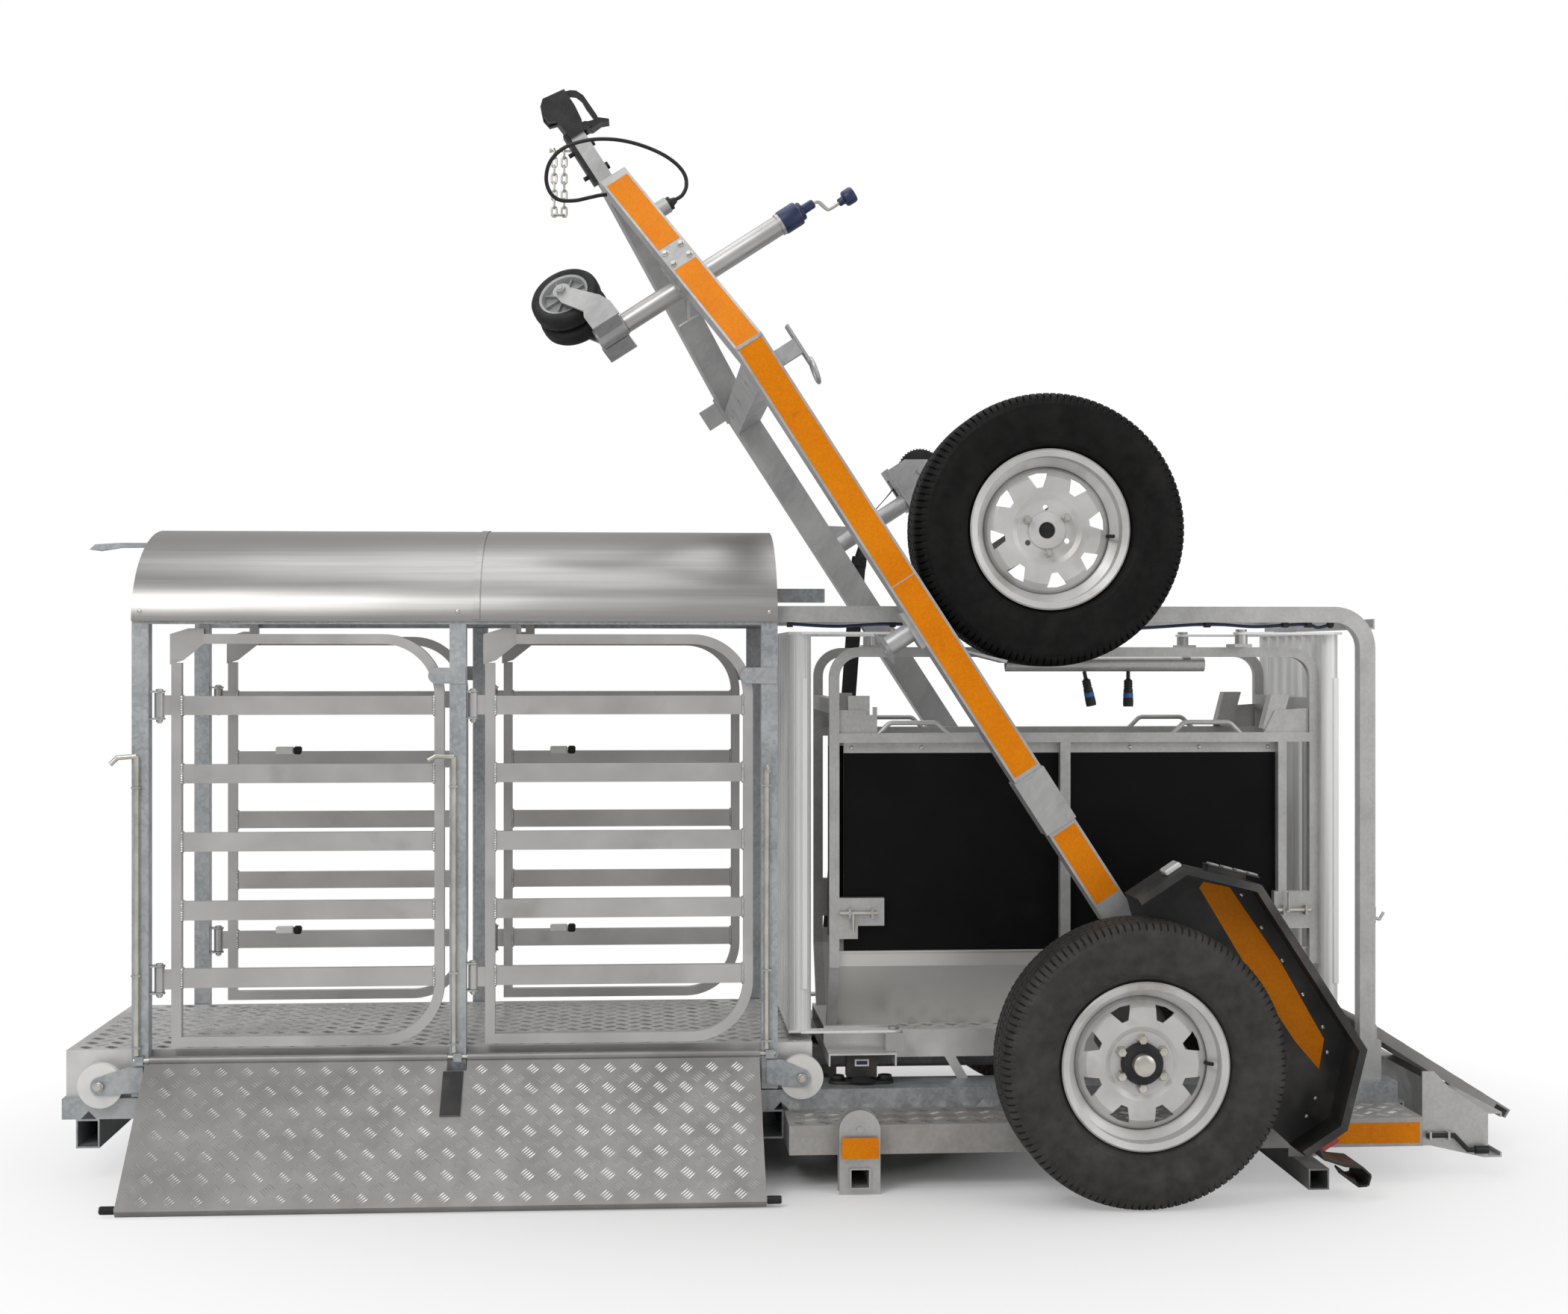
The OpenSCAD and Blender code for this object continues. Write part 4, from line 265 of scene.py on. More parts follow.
def finish(key, slot, colour, second, scale, rough=(0.3, 0.5), metal=0.0, bump=0.1, fine=400.0, stretch=(1, 1, 1),
           cells=0.0, turn=0.0, coat=0.0, spots=None, shine=0.5, mottle=0.2):
    """colour to second by noise of the given scale; roughness between two values by a second noise; a fine bump.
    cells mixes in the crystal pattern of zinc by the share mottle, stretch draws the pattern out along an axis,
    turn leans it, and shine is the strength of the clear reflection."""
    mat = bpy.data.materials.new(key)
    mat.use_nodes = True
    t = mat.node_tree
    shader = t.nodes["Principled BSDF"]
    shader.inputs["Metallic"].default_value = metal
    shader.inputs["Specular IOR Level"].default_value = shine
    if coat:
        shader.inputs["Coat Weight"].default_value = coat
        shader.inputs["Coat Roughness"].default_value = 0.2
    place = t.nodes.new("ShaderNodeTexCoord")
    lean = t.nodes.new("ShaderNodeMapping")
    lean.inputs["Rotation"].default_value = (0, turn, 0)
    draw = t.nodes.new("ShaderNodeMapping")
    draw.inputs["Scale"].default_value = stretch
    t.links.new(place.outputs["Object"], lean.inputs["Vector"])
    t.links.new(lean.outputs["Vector"], draw.inputs["Vector"])

    def noise(size, detail=5.0):
        n = t.nodes.new("ShaderNodeTexNoise")
        n.inputs["Scale"].default_value = size
        n.inputs["Detail"].default_value = detail
        t.links.new(draw.outputs["Vector"], n.inputs["Vector"])
        return n.outputs["Fac"]

    def ramp(value, low, high, at=(0.3, 0.7)):
        r = t.nodes.new("ShaderNodeValToRGB")
        r.color_ramp.elements[0].position, r.color_ramp.elements[1].position = at
        r.color_ramp.elements[0].color = (*low, 1)
        r.color_ramp.elements[1].color = (*high, 1)
        t.links.new(value, r.inputs["Fac"])
        return r.outputs["Color"]

    def blend(a, b, share, how="MIX"):
        m = t.nodes.new("ShaderNodeMix")
        m.data_type, m.blend_type = "RGBA", how
        m.inputs["Factor"].default_value = share
        t.links.new(a, m.inputs["A"])
        t.links.new(b, m.inputs["B"])
        return m.outputs["Result"]

    tone = ramp(noise(scale), colour, second)
    if cells:
        v = t.nodes.new("ShaderNodeTexVoronoi")
        v.inputs["Scale"].default_value = cells
        t.links.new(draw.outputs["Vector"], v.inputs["Vector"])
        grey = t.nodes.new("ShaderNodeRGBToBW")
        t.links.new(v.outputs["Color"], grey.inputs["Color"])
        crystal = ramp(grey.outputs["Val"], [c * 0.8 for c in colour], [min(1, c * 1.2) for c in second])
        tone = blend(tone, crystal, mottle)
    if spots:
        tint, size, at = spots
        mask = ramp(noise(size, 3.0), (0, 0, 0), (1, 1, 1), at)
        m = t.nodes.new("ShaderNodeMix")
        m.data_type = "RGBA"
        t.links.new(mask, m.inputs["Factor"])
        t.links.new(tone, m.inputs["A"])
        m.inputs["B"].default_value = (*tint, 1)
        tone = m.outputs["Result"]
    t.links.new(tone, shader.inputs["Base Color"])
    t.links.new(ramp(noise(scale * 2.3), [rough[0]] * 3, [rough[1]] * 3), shader.inputs["Roughness"])
    if bump:
        b = t.nodes.new("ShaderNodeBump")
        b.inputs["Strength"].default_value = bump
        b.inputs["Distance"].default_value = 0.0006
        t.links.new(noise(fine, 2.0), b.inputs["Height"])
        t.links.new(b.outputs["Normal"], shader.inputs["Normal"])
    FINISH[key] = (mat, slot)
    return mat


finish("galvanised", "steel", (0.34, 0.36, 0.375), (0.50, 0.52, 0.535), 9, (0.34, 0.52), 0.62, 0.10, 300, cells=110,
       spots=((0.58, 0.59, 0.59), 5, (0.55, 0.80)), mottle=0.25)
finish("plain_steel", "steel", (0.44, 0.435, 0.43), (0.55, 0.545, 0.54), 12, (0.34, 0.50), 0.6, 0.08, 300, cells=130,
       spots=((0.37, 0.36, 0.35), 6, (0.60, 0.90)), mottle=0.12)
finish("galvanised_beam", "steel", (0.38, 0.38, 0.38), (0.50, 0.50, 0.50), 7, (0.36, 0.55), 0.6, 0.12, 300,
       stretch=(0.4, 1, 1), cells=90, turn=TILT, spots=((0.60, 0.59, 0.575), 4, (0.5, 0.8)), mottle=0.15)
finish("step_plate", "steel", (0.34, 0.325, 0.31), (0.46, 0.445, 0.43), 7, (0.36, 0.55), 0.5, 0.10, 300, cells=110,
       spots=((0.30, 0.25, 0.21), 4, (0.50, 0.85)), mottle=0.12)
finish("milled", "bright", (0.46, 0.45, 0.44), (0.60, 0.59, 0.58), 5, (0.30, 0.44), 0.72, 0.05, 260,
       spots=((0.36, 0.345, 0.33), 7, (0.62, 0.85)))
finish("brushed_x", "bright", (0.33, 0.325, 0.32), (0.43, 0.42, 0.41), 60, (0.32, 0.38), 0.88, 0.08, 520,
       stretch=(0.02, 1, 1), spots=((0.36, 0.345, 0.33), 3, (0.45, 0.75)))
# The door bars' streaks are brushing; their near-white colour, brighter than the other aluminium, is painted light
# against the shade they stand in.
finish("brushed_z_painted_light", "bright", (0.84, 0.84, 0.835), (0.92, 0.92, 0.91), 120, (0.30, 0.44), 0.25, 0.04, 480,
       stretch=(1, 1, 0.03))
finish("soft_sheet", "steel", (0.60, 0.585, 0.565), (0.78, 0.765, 0.74), 3, (0.34, 0.48), 0.6, 0.06, 300,
       stretch=(0.25, 1, 1), spots=((0.56, 0.50, 0.45), 4, (0.5, 0.8)))
finish("treadplate", "bright", (0.28, 0.268, 0.26), (0.36, 0.35, 0.34), 11, (0.44, 0.52), 0.70, 0.10, 260,
       spots=((0.25, 0.238, 0.23), 4, (0.55, 0.8)))
# The floors take a far lighter copy of the ramps' tread plate colour: painted light against the shade of the bay.
finish("floor_plate_painted_light", "bright", (0.66, 0.65, 0.64), (0.80, 0.79, 0.78), 11, (0.30, 0.44), 0.55, 0.10, 260,
       spots=((0.54, 0.52, 0.50), 4, (0.55, 0.8)))
finish("tread_bar", "bright", (0.50, 0.49, 0.48), (0.66, 0.655, 0.65), 30, (0.18, 0.30), 0.9, 0.0)
finish("black_panel", "blackmetal", (0.0035, 0.0035, 0.0038), (0.006, 0.0055, 0.0055), 6, (0.36, 0.5), 0.0, 0.10, 700,
       spots=((0.011, 0.009, 0.008), 3, (0.62, 0.85)), shine=0.10)
finish("black_moulded", "blackmetal", (0.018, 0.018, 0.018), (0.040, 0.038, 0.037), 12, (0.42, 0.56), 0.0, 0.35, 260,
       spots=((0.11, 0.10, 0.09), 7, (0.50, 0.80)), shine=0.4)
finish("cast_black", "blackmetal", (0.012, 0.012, 0.013), (0.03, 0.03, 0.031), 30, (0.35, 0.55), 0.1, 0.5, 180,
       shine=0.35)
finish("tyre_rubber", "tyre", (0.024, 0.023, 0.022), (0.040, 0.038, 0.036), 40, (0.50, 0.62), 0.0, 0.15, 420,
       spots=((0.062, 0.058, 0.054), 16, (0.50, 0.85)), shine=0.30)
# A much darker copy of the road tyres' rubber for the spare: painted shade.
finish("tyre_painted_shade", "tyre", (0.0035, 0.0033, 0.0032), (0.008, 0.0076, 0.0073), 40, (0.48, 0.62), 0.0, 0.15, 420,
       spots=((0.014, 0.013, 0.012), 16, (0.50, 0.88)), shine=0.14)
finish("small_rubber", "rubber", (0.010, 0.010, 0.011), (0.024, 0.024, 0.024), 30, (0.5, 0.7), 0.0, 0.2, 420,
       shine=0.3)
finish("wheel_paint", "rim", (0.52, 0.515, 0.50), (0.66, 0.655, 0.645), 10, (0.36, 0.5), 0.35, 0.06, 600,
       spots=((0.36, 0.32, 0.28), 9, (0.58, 0.85)))
finish("nylon", "nylon", (0.74, 0.73, 0.70), (0.84, 0.835, 0.81), 14, (0.3, 0.45), 0.0, 0.05, 300)
finish("navy", "blue", (0.008, 0.016, 0.060), (0.016, 0.030, 0.100), 25, (0.3, 0.5), 0.0, 0.2, 420)
finish("blue_collar", "blue", (0.01, 0.10, 0.34), (0.02, 0.15, 0.45), 25, (0.3, 0.5), 0.0, 0.1, 420)
finish("black_lead", "black", (0.010, 0.010, 0.011), (0.022, 0.022, 0.022), 40, (0.35, 0.5), 0.0, 0.1, 500, shine=0.35)
finish("zinc", "zinc", (0.52, 0.50, 0.44), (0.70, 0.68, 0.62), 24, (0.25, 0.42), 0.85, 0.10, 300)
finish("weld", "steel", (0.40, 0.40, 0.40), (0.64, 0.64, 0.63), 60, (0.3, 0.5), 0.7, 0.1, 500)
finish("orange_tape", "blackmetal", (0.68, 0.185, 0.001), (0.76, 0.235, 0.002), 8, (0.32, 0.46), 0.0, 0.10, 600,
       cells=260, spots=((0.40, 0.14, 0.008), 18, (0.70, 0.84)), shine=0.12)
finish("lamp_red", "black", (0.30, 0.008, 0.006), (0.42, 0.014, 0.010), 60, (0.12, 0.2), 0.0, 0.3, 300, coat=0.5)
finish("lamp_clear", "nylon", (0.62, 0.62, 0.60), (0.74, 0.74, 0.73), 60, (0.10, 0.2), 0.0, 0.4, 260, coat=0.5)
finish("jockey_grey", "steel", (0.30, 0.31, 0.31), (0.42, 0.42, 0.42), 20, (0.4, 0.55), 0.2, 0.2, 300)
print("finishes made:", len(FINISH))

# %% [markdown]
# Webbing is woven, so its finish follows the strap and not the room. It reads the strap's own UV map, where
# u runs along the length in metres and v across the width. Two wave patterns at right angles make the weave.

# %% Woven webbing
mat = bpy.data.materials.new("webbing")
mat.use_nodes = True
t = mat.node_tree
shader = t.nodes["Principled BSDF"]
shader.inputs["Roughness"].default_value = 0.75
shader.inputs["Sheen Weight"].default_value = 0.3
uv = t.nodes.new("ShaderNodeUVMap")
uv.uv_map = "strap"
waves = []
for direction, size in (("X", 130.0), ("Y", 300.0)):
    wave = t.nodes.new("ShaderNodeTexWave")
    wave.bands_direction = direction
    wave.inputs["Scale"].default_value = size
    wave.inputs["Distortion"].default_value = 0.6
    t.links.new(uv.outputs["UV"], wave.inputs["Vector"])
    waves.append(wave)
both_waves = t.nodes.new("ShaderNodeMath")
both_waves.operation = "MULTIPLY"
t.links.new(waves[0].outputs["Fac"], both_waves.inputs[0])
t.links.new(waves[1].outputs["Fac"], both_waves.inputs[1])
weave = t.nodes.new("ShaderNodeValToRGB")
weave.color_ramp.elements[0].color = (0.006, 0.006, 0.007, 1)
weave.color_ramp.elements[1].color = (0.045, 0.045, 0.048, 1)
t.links.new(both_waves.outputs["Value"], weave.inputs["Fac"])
t.links.new(weave.outputs["Color"], shader.inputs["Base Color"])
knit = t.nodes.new("ShaderNodeBump")
knit.inputs["Strength"].default_value = 0.5
knit.inputs["Distance"].default_value = 0.0008
t.links.new(both_waves.outputs["Value"], knit.inputs["Height"])
t.links.new(knit.outputs["Normal"], shader.inputs["Normal"])
FINISH["webbing"] = (mat, "fabric")
print("webbing reads the map named", uv.uv_map)

# %% [markdown]
# A shape becomes a piece in one place: the points are welded where they meet, the faces are turned outward,
# edges sharper than 35 degrees stay crisp, and the piece is told which body carries it. Doing this in one
# function keeps every later cell short.

# %% From shape to piece
made = {}


def piece(name, shape, body, key, replaces=(), angle=35, weld=True):
    """Makes the mesh, welds doubled points, turns faces outward, and rides it on a body, if one is given."""
    mesh = bpy.data.meshes.new(name)
    mesh.from_pydata(np.asarray(shape[0], float).tolist(), [], shape[1])
    if weld:
        work = bmesh.new()
        work.from_mesh(mesh)
        bmesh.ops.remove_doubles(work, verts=work.verts, dist=2e-6)
        bmesh.ops.recalc_face_normals(work, faces=work.faces)
        work.to_mesh(mesh)
        work.free()
    mesh.shade_smooth()
    mesh.set_sharp_from_angle(angle=radians(angle))
    obj = bpy.data.objects.new(name, mesh)
    scene.collection.objects.link(obj)
    obj.data.materials.append(FINISH[key][0])
    if body:
        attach(obj, body)
    if replaces:
        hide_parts(*([replaces] if isinstance(replaces, str) else replaces))
    made[name] = len(mesh.polygons)
    return obj


def carried(name, shape, key, *more):
    """A piece of the carriage, drawn in its towing position."""
    return piece(name, raised(shape), "carriage", key, *more)


print("ready to make pieces")

# %% [markdown]
# The lead from the drawbar to the trailer plug hangs in one loose loop beside the chain. Both of its ends are
# seen, so its real length is what the photograph shows. It is a round section carried along the same points
# that the exact model uses, with a smooth curve between them.

# %% Trailer lead
lead_route = np.array([
    (-0.5175, -0.070, 2.476), (-0.536, -0.075, 2.473), (-0.560, -0.082, 2.466), (-0.600, -0.092, 2.455),
    (-0.640, -0.100, 2.455), (-0.664, -0.108, 2.475), (-0.672, -0.116, 2.510), (-0.660, -0.124, 2.550),
    (-0.625, -0.132, 2.582), (-0.570, -0.138, 2.600), (-0.510, -0.140, 2.604), (-0.450, -0.138, 2.596),
    (-0.390, -0.136, 2.576), (-0.345, -0.134, 2.550), (-0.318, -0.132, 2.520), (-0.312, -0.131, 2.490),
    (-0.322, -0.130, 2.466), (-0.3386, -0.130, 2.4537)])
lead_path = smooth_line(lead_route, 150)
lead = piece("trailer_lead", sweep(lead_path, circle(0.005, 14)), "carriage", "black_lead", "trailer_cable", 60)

# %% [markdown]
# The navy sensor lead is clipped up under the near arch rail and dips a little between its clips. Both ends
# turn up into the rail. Two connectors hang from the conduit below the crate's top bar, black with a blue
# collar, and their grips are ribbed.

# %% Sensor lead and hanging connectors
sensor_route = np.array([(-60, 0), (60, -6), (200, 0), (420, -10), (640, -14), (820, -10), (1000, 0), (1120, -6),
                         (1200, -2), (1260, 0), (1284, -8), (1306, -4), (1318, 0)]) / 1000
sensor_z = 1.402 - 0.040 - 0.004 - 0.0003
sensor_points = np.stack([sensor_route[:, 0], np.full(len(sensor_route), -0.318), sensor_z + sensor_route[:, 1]], -1)
sensor_path = smooth_line(sensor_points, 180)
sensor = piece("sensor_lead", sweep(sensor_path, circle(0.004, 12)), "base", "navy", "sensor_cable", 60)
clip_at = [(x / 1000, -0.318, 1.3565) for x in (-58, 200, 1000, 1200, 1260)]
clips = join([box(np.subtract(c, (0.007, 0.012, 0.007)), np.add(c, (0.007, 0.012, 0.0055))) for c in clip_at])
piece("lead_clips", clips, "base", "black_lead")
gland = lathe([(0.0045, -0.010), (0.0085, -0.006), (0.0095, 0.000), (0.0095, 0.0035), (0.0075, 0.0035)], 16)
piece("lead_gland", placed(gland, (1.318, -0.318, 1.3583)), "base", "black_lead")
ribs = [(0.0115 - 0.0012 * (i % 2), -0.024 - 0.0035 * i) for i in range(7)]
plug_profile = [(0.005, 0), (0.005, -0.018), (0.009, -0.022)] + ribs + [(0.012, -0.048), (0.012, -0.056)]
tail_profile = [(0.0105, -0.0665), (0.013, -0.068), (0.0133, -0.083), (0.0125, -0.090), (0.0095, -0.090),
                (0.009, -0.080)]
collar_profile = [(0.0118, -0.055), (0.0128, -0.057), (0.0128, -0.066), (0.0118, -0.0675)]
for n, (x, lean) in enumerate([(0.705, 12), (0.819, 0)]):
    a = radians(lean)
    turn = np.array([[cos(a), 0, -sin(a)], [0, 1, 0], [sin(a), 0, cos(a)]])
    for part, profile, key in (("grip", plug_profile, "black_lead"), ("tail", tail_profile, "black_lead"),
                               ("collar", collar_profile, "blue_collar")):
        connector = placed(lathe(profile, 20), (x, -0.2255, 1.238), turn)
        piece(f"connector_{part}_{n + 1}", connector, "base", key, "sensor_cable")

# %% [markdown]
# Finishes for the nodes that keep their exact shape. Each node's object only gets another material; its mesh
# is never touched.

# %% Finishes on the exact nodes
wear = {
    "step_plate": "side_steps",
    "galvanised": "base_rails cross_beams module_posts module_rails roller_forks",
    "plain_steel": "leg_brackets entry_frame crate_frames lift_hooks outer_arches",
    "galvanised_beam": "drawbar_frame winch_frame jockey_shaft",
    # painted light: the floors' lighter plate colour
    "floor_plate_painted_light": "draft_floor crate_floor",
    "treadplate": "near_ramp far_ramp entry_ramp",
    "milled": "door_pivots gate_left_near gate_right_near gate_left_far gate_right_far jockey_tube",
    # painted light: the door bars' near-white colour
    "brushed_z_painted_light": "exit_door_near exit_door_far entry_door_near entry_door_far",
    "soft_sheet": "lower_sheets",
    "black_panel": "side_panels",
    "black_moulded": "mudguards load_cells",
    "cast_black": "coupling_body coupling_handle winch_drum",
    "zinc": "winch_handle hinge_pins slide_bolt_left slide_bolt_right drop_rod_left drop_rod_middle drop_rod_right "
            "safety_chain",
    "nylon": "rollers_left rollers_right",
    "wheel_paint": "near_rim far_rim spare_rim",
    "black_lead": "trailer_plug ramp_lever",
    "navy": "jockey_crank",
    "small_rubber": "jockey_wheels",
}
for key, names in wear.items():
    for name in names.split():
        mesh = nodes[name].data
        mesh.materials.clear()
        mesh.materials.append(FINISH[key][0])
print("nodes dressed:", sum(len(v.split()) for v in wear.values()))

# %% [markdown]
# The road tyres and the spare are 198 mm wide with a ribbed tread: four grooves round the tyre, fine cuts across
# the ribs and deeper cuts at both shoulders, one every three degrees. The outline runs from bead to
# bead; each groove and each raised line on the sidewall has its own points in it, so that it stays crisp.

# %% Tyres
N_CUTS, PER_CUT = 120, 6
GROOVES = (-0.048, -0.017, 0.017, 0.048)
side_wall = smooth_line([(0.186, 0.068), (0.197, 0.0695), (0.206, 0.083), (0.222, 0.0925), (0.262, 0.099),
                         (0.292, 0.0955), (0.311, 0.0890), (0.323, 0.0805), (0.3300, 0.0700), (0.3325, 0.0600)], 49)


def tyre():
    """Ring surface: the outline turned round, less the depth of the cuts at one vertex in six."""
    r, y = side_wall.T
    for at, high, half in ((0.303, 0.0012, 0.0026), (0.282, 0.0006, 0.0020), (0.236, 0.0012, 0.0024),
                           (0.214, 0.0009, 0.0024)):
        y = y + high * np.exp(-(((r - at) / half) ** 2))
    tread = [(0.333 - d, c + x) for c in GROOVES for d, x in ((0, -0.0042), (0.0080, -0.0030), (0.0080, 0.0030),
                                                             (0, 0.0042))]
    outline = np.concatenate([np.stack([r, -y], -1), tread, np.stack([r, y], -1)[::-1]])
    inner = np.array([(0.186, 0.056), (0.22, 0.080), (0.28, 0.080), (0.312, 0.060), (0.312, -0.060), (0.28, -0.080),
                      (0.22, -0.080), (0.186, -0.056)])
    outer = np.arange(len(outline) + len(inner)) < len(outline)
    r, y = np.concatenate([outline, inner]).T
    k = np.arange(N_CUTS * PER_CUT)[:, None]
    a = 2 * pi * k / len(k)
    shoulder = ((k + np.where(y > 0, 3, 0)) % PER_CUT == 0) * np.clip((r - 0.302) / 0.008, 0, 1) * (np.abs(y) > 0.053)
    across = ((k + np.where(np.abs(y) < 0.02, 3, 1)) % PER_CUT == 0) * (np.abs(y) < 0.053) * (r > 0.330)
    radius = r - outer * (0.0042 * shoulder * (r > 0.318) + 0.0022 * across)
    wide = y - np.sign(y) * outer * 0.0022 * shoulder * (r < 0.331)
    points = np.stack([radius * np.cos(a), wide, radius * np.sin(a)], -1).reshape(-1, 3)
    return points, grid(len(k), len(r), loop_u=True, loop_v=True)


tyre_shape = tyre()
for side, word in ((-1, "near"), (1, "far")):
    road_tyre = placed(tyre_shape, AXLE + (0, side * TRACK_HALF, 0))
    piece(f"{word}_road_tyre", road_tyre, f"{word}_wheel", "tyre_rubber", f"{word}_tyre", 50)
spare_at = np.array([-1.141, -0.446, 0.541])
# The spare wears the darker copy of the rubber, which paints shade on it.
carried("spare_road_tyre", placed(tyre_shape, spare_at), "tyre_painted_shade", "spare_tyre", 50)
print("faces in one tyre:", len(tyre_shape[1]))

# %% [markdown]
# Each road wheel shows six chromed nuts round a black hub ring with a silver cap, and a rubber valve in one
# window. The exact rims have the windows; the small turned parts go on top of them. The spare is held by three
# of its six holes against a flange, and a black disc in the flange's bore paints the shade of the hole.

# %% Hubs, nuts and valves
BOLT_CIRCLE = 0.056
hub_ring = lathe([(0.025, 0.0445), (0.040, 0.0455), (0.047, 0.0440), (0.0492, 0.040), (0.0492, 0.027),
                  (0.0330, 0.027)], 48)
cap = lathe([(0.0245, 0.0440), (0.0262, 0.0460), (0.0265, 0.0600), (0.0248, 0.0655), (0.0200, 0.0685),
             (0.0080, 0.0695)], 40)
nut = lathe([(0.0135, 0.0282), (0.0145, 0.0300), (0.0120, 0.0330), (0.0118, 0.0450), (0.0098, 0.0490),
             (0.0060, 0.0500)], 6)


def on_bolts(shape, degrees, lift=0.0):
    """Copies of a small part on the bolt circle."""
    a = np.radians(degrees)
    return copies(shape, np.stack([BOLT_CIRCLE * np.cos(a), BOLT_CIRCLE * np.sin(a), 0 * a + lift], -1), np.eye(3))


nuts = on_bolts(nut, 60 * np.arange(6) + 30)
valve = sweep(smooth_line([(0.150, 0, 0.010), (0.150, 0, 0.030), (0.154, 0, 0.042), (0.162, 0, 0.052)], 14),
              circle(0.0045, 10))
for side, body in ((-1, "near_wheel"), (1, "far_wheel")):
    to_world = np.array([[1, 0, 0], [0, 0, side], [0, 1, 0]])
    for part, shape, key in (("hub_ring", hub_ring, "cast_black"), ("hub_cap", cap, "zinc"),
                             ("wheel_nuts", nuts, "zinc"), ("wheel_valve", valve, "small_rubber")):
        piece(body.replace("wheel", part), placed(shape, AXLE + (0, side * TRACK_HALF, 0), to_world), body, key)
spare_turn = np.array([[1, 0, 0], [0, 0, -1], [0, 1, 0]])
stud_nuts = on_bolts(lathe([(0.011, 0.026), (0.0115, 0.036), (0.009, 0.040)], 6), np.array([90, 210, 330]), 0.004)
carried("spare_nuts", placed(stud_nuts, spare_at, spare_turn), "zinc")
lean = np.array([[cos(0.9), -sin(0.9), 0], [sin(0.9), cos(0.9), 0], [0, 0, 1]])
carried("spare_valve", placed(placed(valve, turn=lean), spare_at, spare_turn), "small_rubber")
flange = lathe([(0.0200, 0.0245), (0.0200, 0.0330), (0.0210, 0.0342), (0.0445, 0.0342), (0.0460, 0.0330),
                (0.0460, 0.0305), (0.0330, 0.0305), (0.0330, 0.0245)], 56, True)
carried("spare_flange", placed(flange, spare_at, spare_turn), "wheel_paint")
# painted shade: a black disc fills the flange's bore where the hole lies in shade
hole_shade = lathe([(0.0202, 0.0250), (0.0202, 0.0262)], 40)
carried("spare_hole_shade", placed(hole_shade, spare_at, spare_turn), "small_rubber")
print("wheel nuts:", 12, "and on the spare:", 3)

# %% [markdown]
# The roof of the drafting bay is one sheet rolled to half an ellipse, with a seam across its middle and three
# rivets along each lower edge, one at every post. It is a grid: one parameter runs round the arch, the other
# along it, and a second layer three millimetres in closes the sheet.

# %% Canopy
arc = np.linspace(0, pi, 97)
outside = np.stack([0.400 * np.cos(arc), 0.240 * np.sin(arc)], -1)
inside = np.stack([0.397 * np.cos(arc), 0.237 * np.sin(arc)], -1)[::-1]
loop = np.concatenate([outside, inside])
xs = np.linspace(-1.657, -0.093, 41)
ripple = 0.0012 * np.sin(xs * 9.0)[:, None] * np.sin(np.linspace(0, pi, 97) * 2)[None]
both_layers = np.concatenate([ripple, ripple[:, ::-1]], 1)
scale_in = 1 - np.abs(both_layers) / 0.24
points = np.stack([np.broadcast_to(xs[:, None], scale_in.shape), loop[:, 0] * scale_in,
                   1.362 + loop[:, 1] * scale_in], -1).reshape(-1, 3)
n_loop = len(loop)
canopy_faces = grid(len(xs), n_loop, loop_v=True)
for end in (0, (len(xs) - 1) * n_loop):
    canopy_faces += [[end + i, end + i + 1, end + n_loop - 2 - i, end + n_loop - 1 - i] for i in range(96)]
piece("canopy_sheet", (points, canopy_faces), "module", "brushed_x", "canopy", 40)


def arch_band(x0, x1, lift=0.0004, thick=0.0016, n=65):
    """A narrow band that hugs the roof: the arch's ellipse grown by the lift, and by the lift and thickness."""
    a = np.linspace(0.02, pi - 0.02, n)
    rings = [np.stack([(0.400 + g) * np.cos(a), (0.240 + g) * np.sin(a)], -1) for g in (lift, lift + thick)]
    section = np.concatenate([rings[0], rings[1][::-1]])
    p = np.stack([np.repeat([x0, x1], 2 * n), np.tile(section[:, 0], 2), 1.362 + np.tile(section[:, 1], 2)], -1)
    f = grid(2, 2 * n, loop_v=True)
    f += [[s + i, s + i + 1, s + 2 * n - 2 - i, s + 2 * n - 1 - i] for s in (0, 2 * n) for i in range(n - 1)]
    return p, f


seam = join([arch_band(-0.838, -0.822), arch_band(-0.8215, -0.8205, 0.0, 0.0026)])
piece("canopy_seam", seam, "module", "brushed_x")
rivet_x = [-1.637, -0.875, -0.113]
t = 0.10
edge_rivets = rivets([(x, -0.400 * cos(t), 1.362 + 0.240 * sin(t)) for x in rivet_x], (0, -1, 0.12), 0.006)
piece("canopy_rivets", both(edge_rivets), "module", "zinc")
print("canopy faces:", made["canopy_sheet"])

# %% [markdown]
# The ramps, floors and steps are five-bar tread plate: groups of five short bars, each group turned by a
# quarter turn from its neighbours, all at 45 degrees to the plate. A picture of them would look flat from the
# side, so they are real bars. There are thousands, so each bar has only eight points.

# %% Tread bars
BAR = (np.array([(-1, 0, 0), (-0.55, -1, 0), (0.55, -1, 0), (1, 0, 0), (0.55, 1, 0), (-0.55, 1, 0), (-0.45, 0, 1),
                 (0.45, 0, 1)], float),
       [[0, 1, 6], [1, 2, 7, 6], [2, 3, 7], [3, 4, 7], [4, 5, 6, 7], [5, 0, 6], [5, 4, 3, 2, 1, 0]])


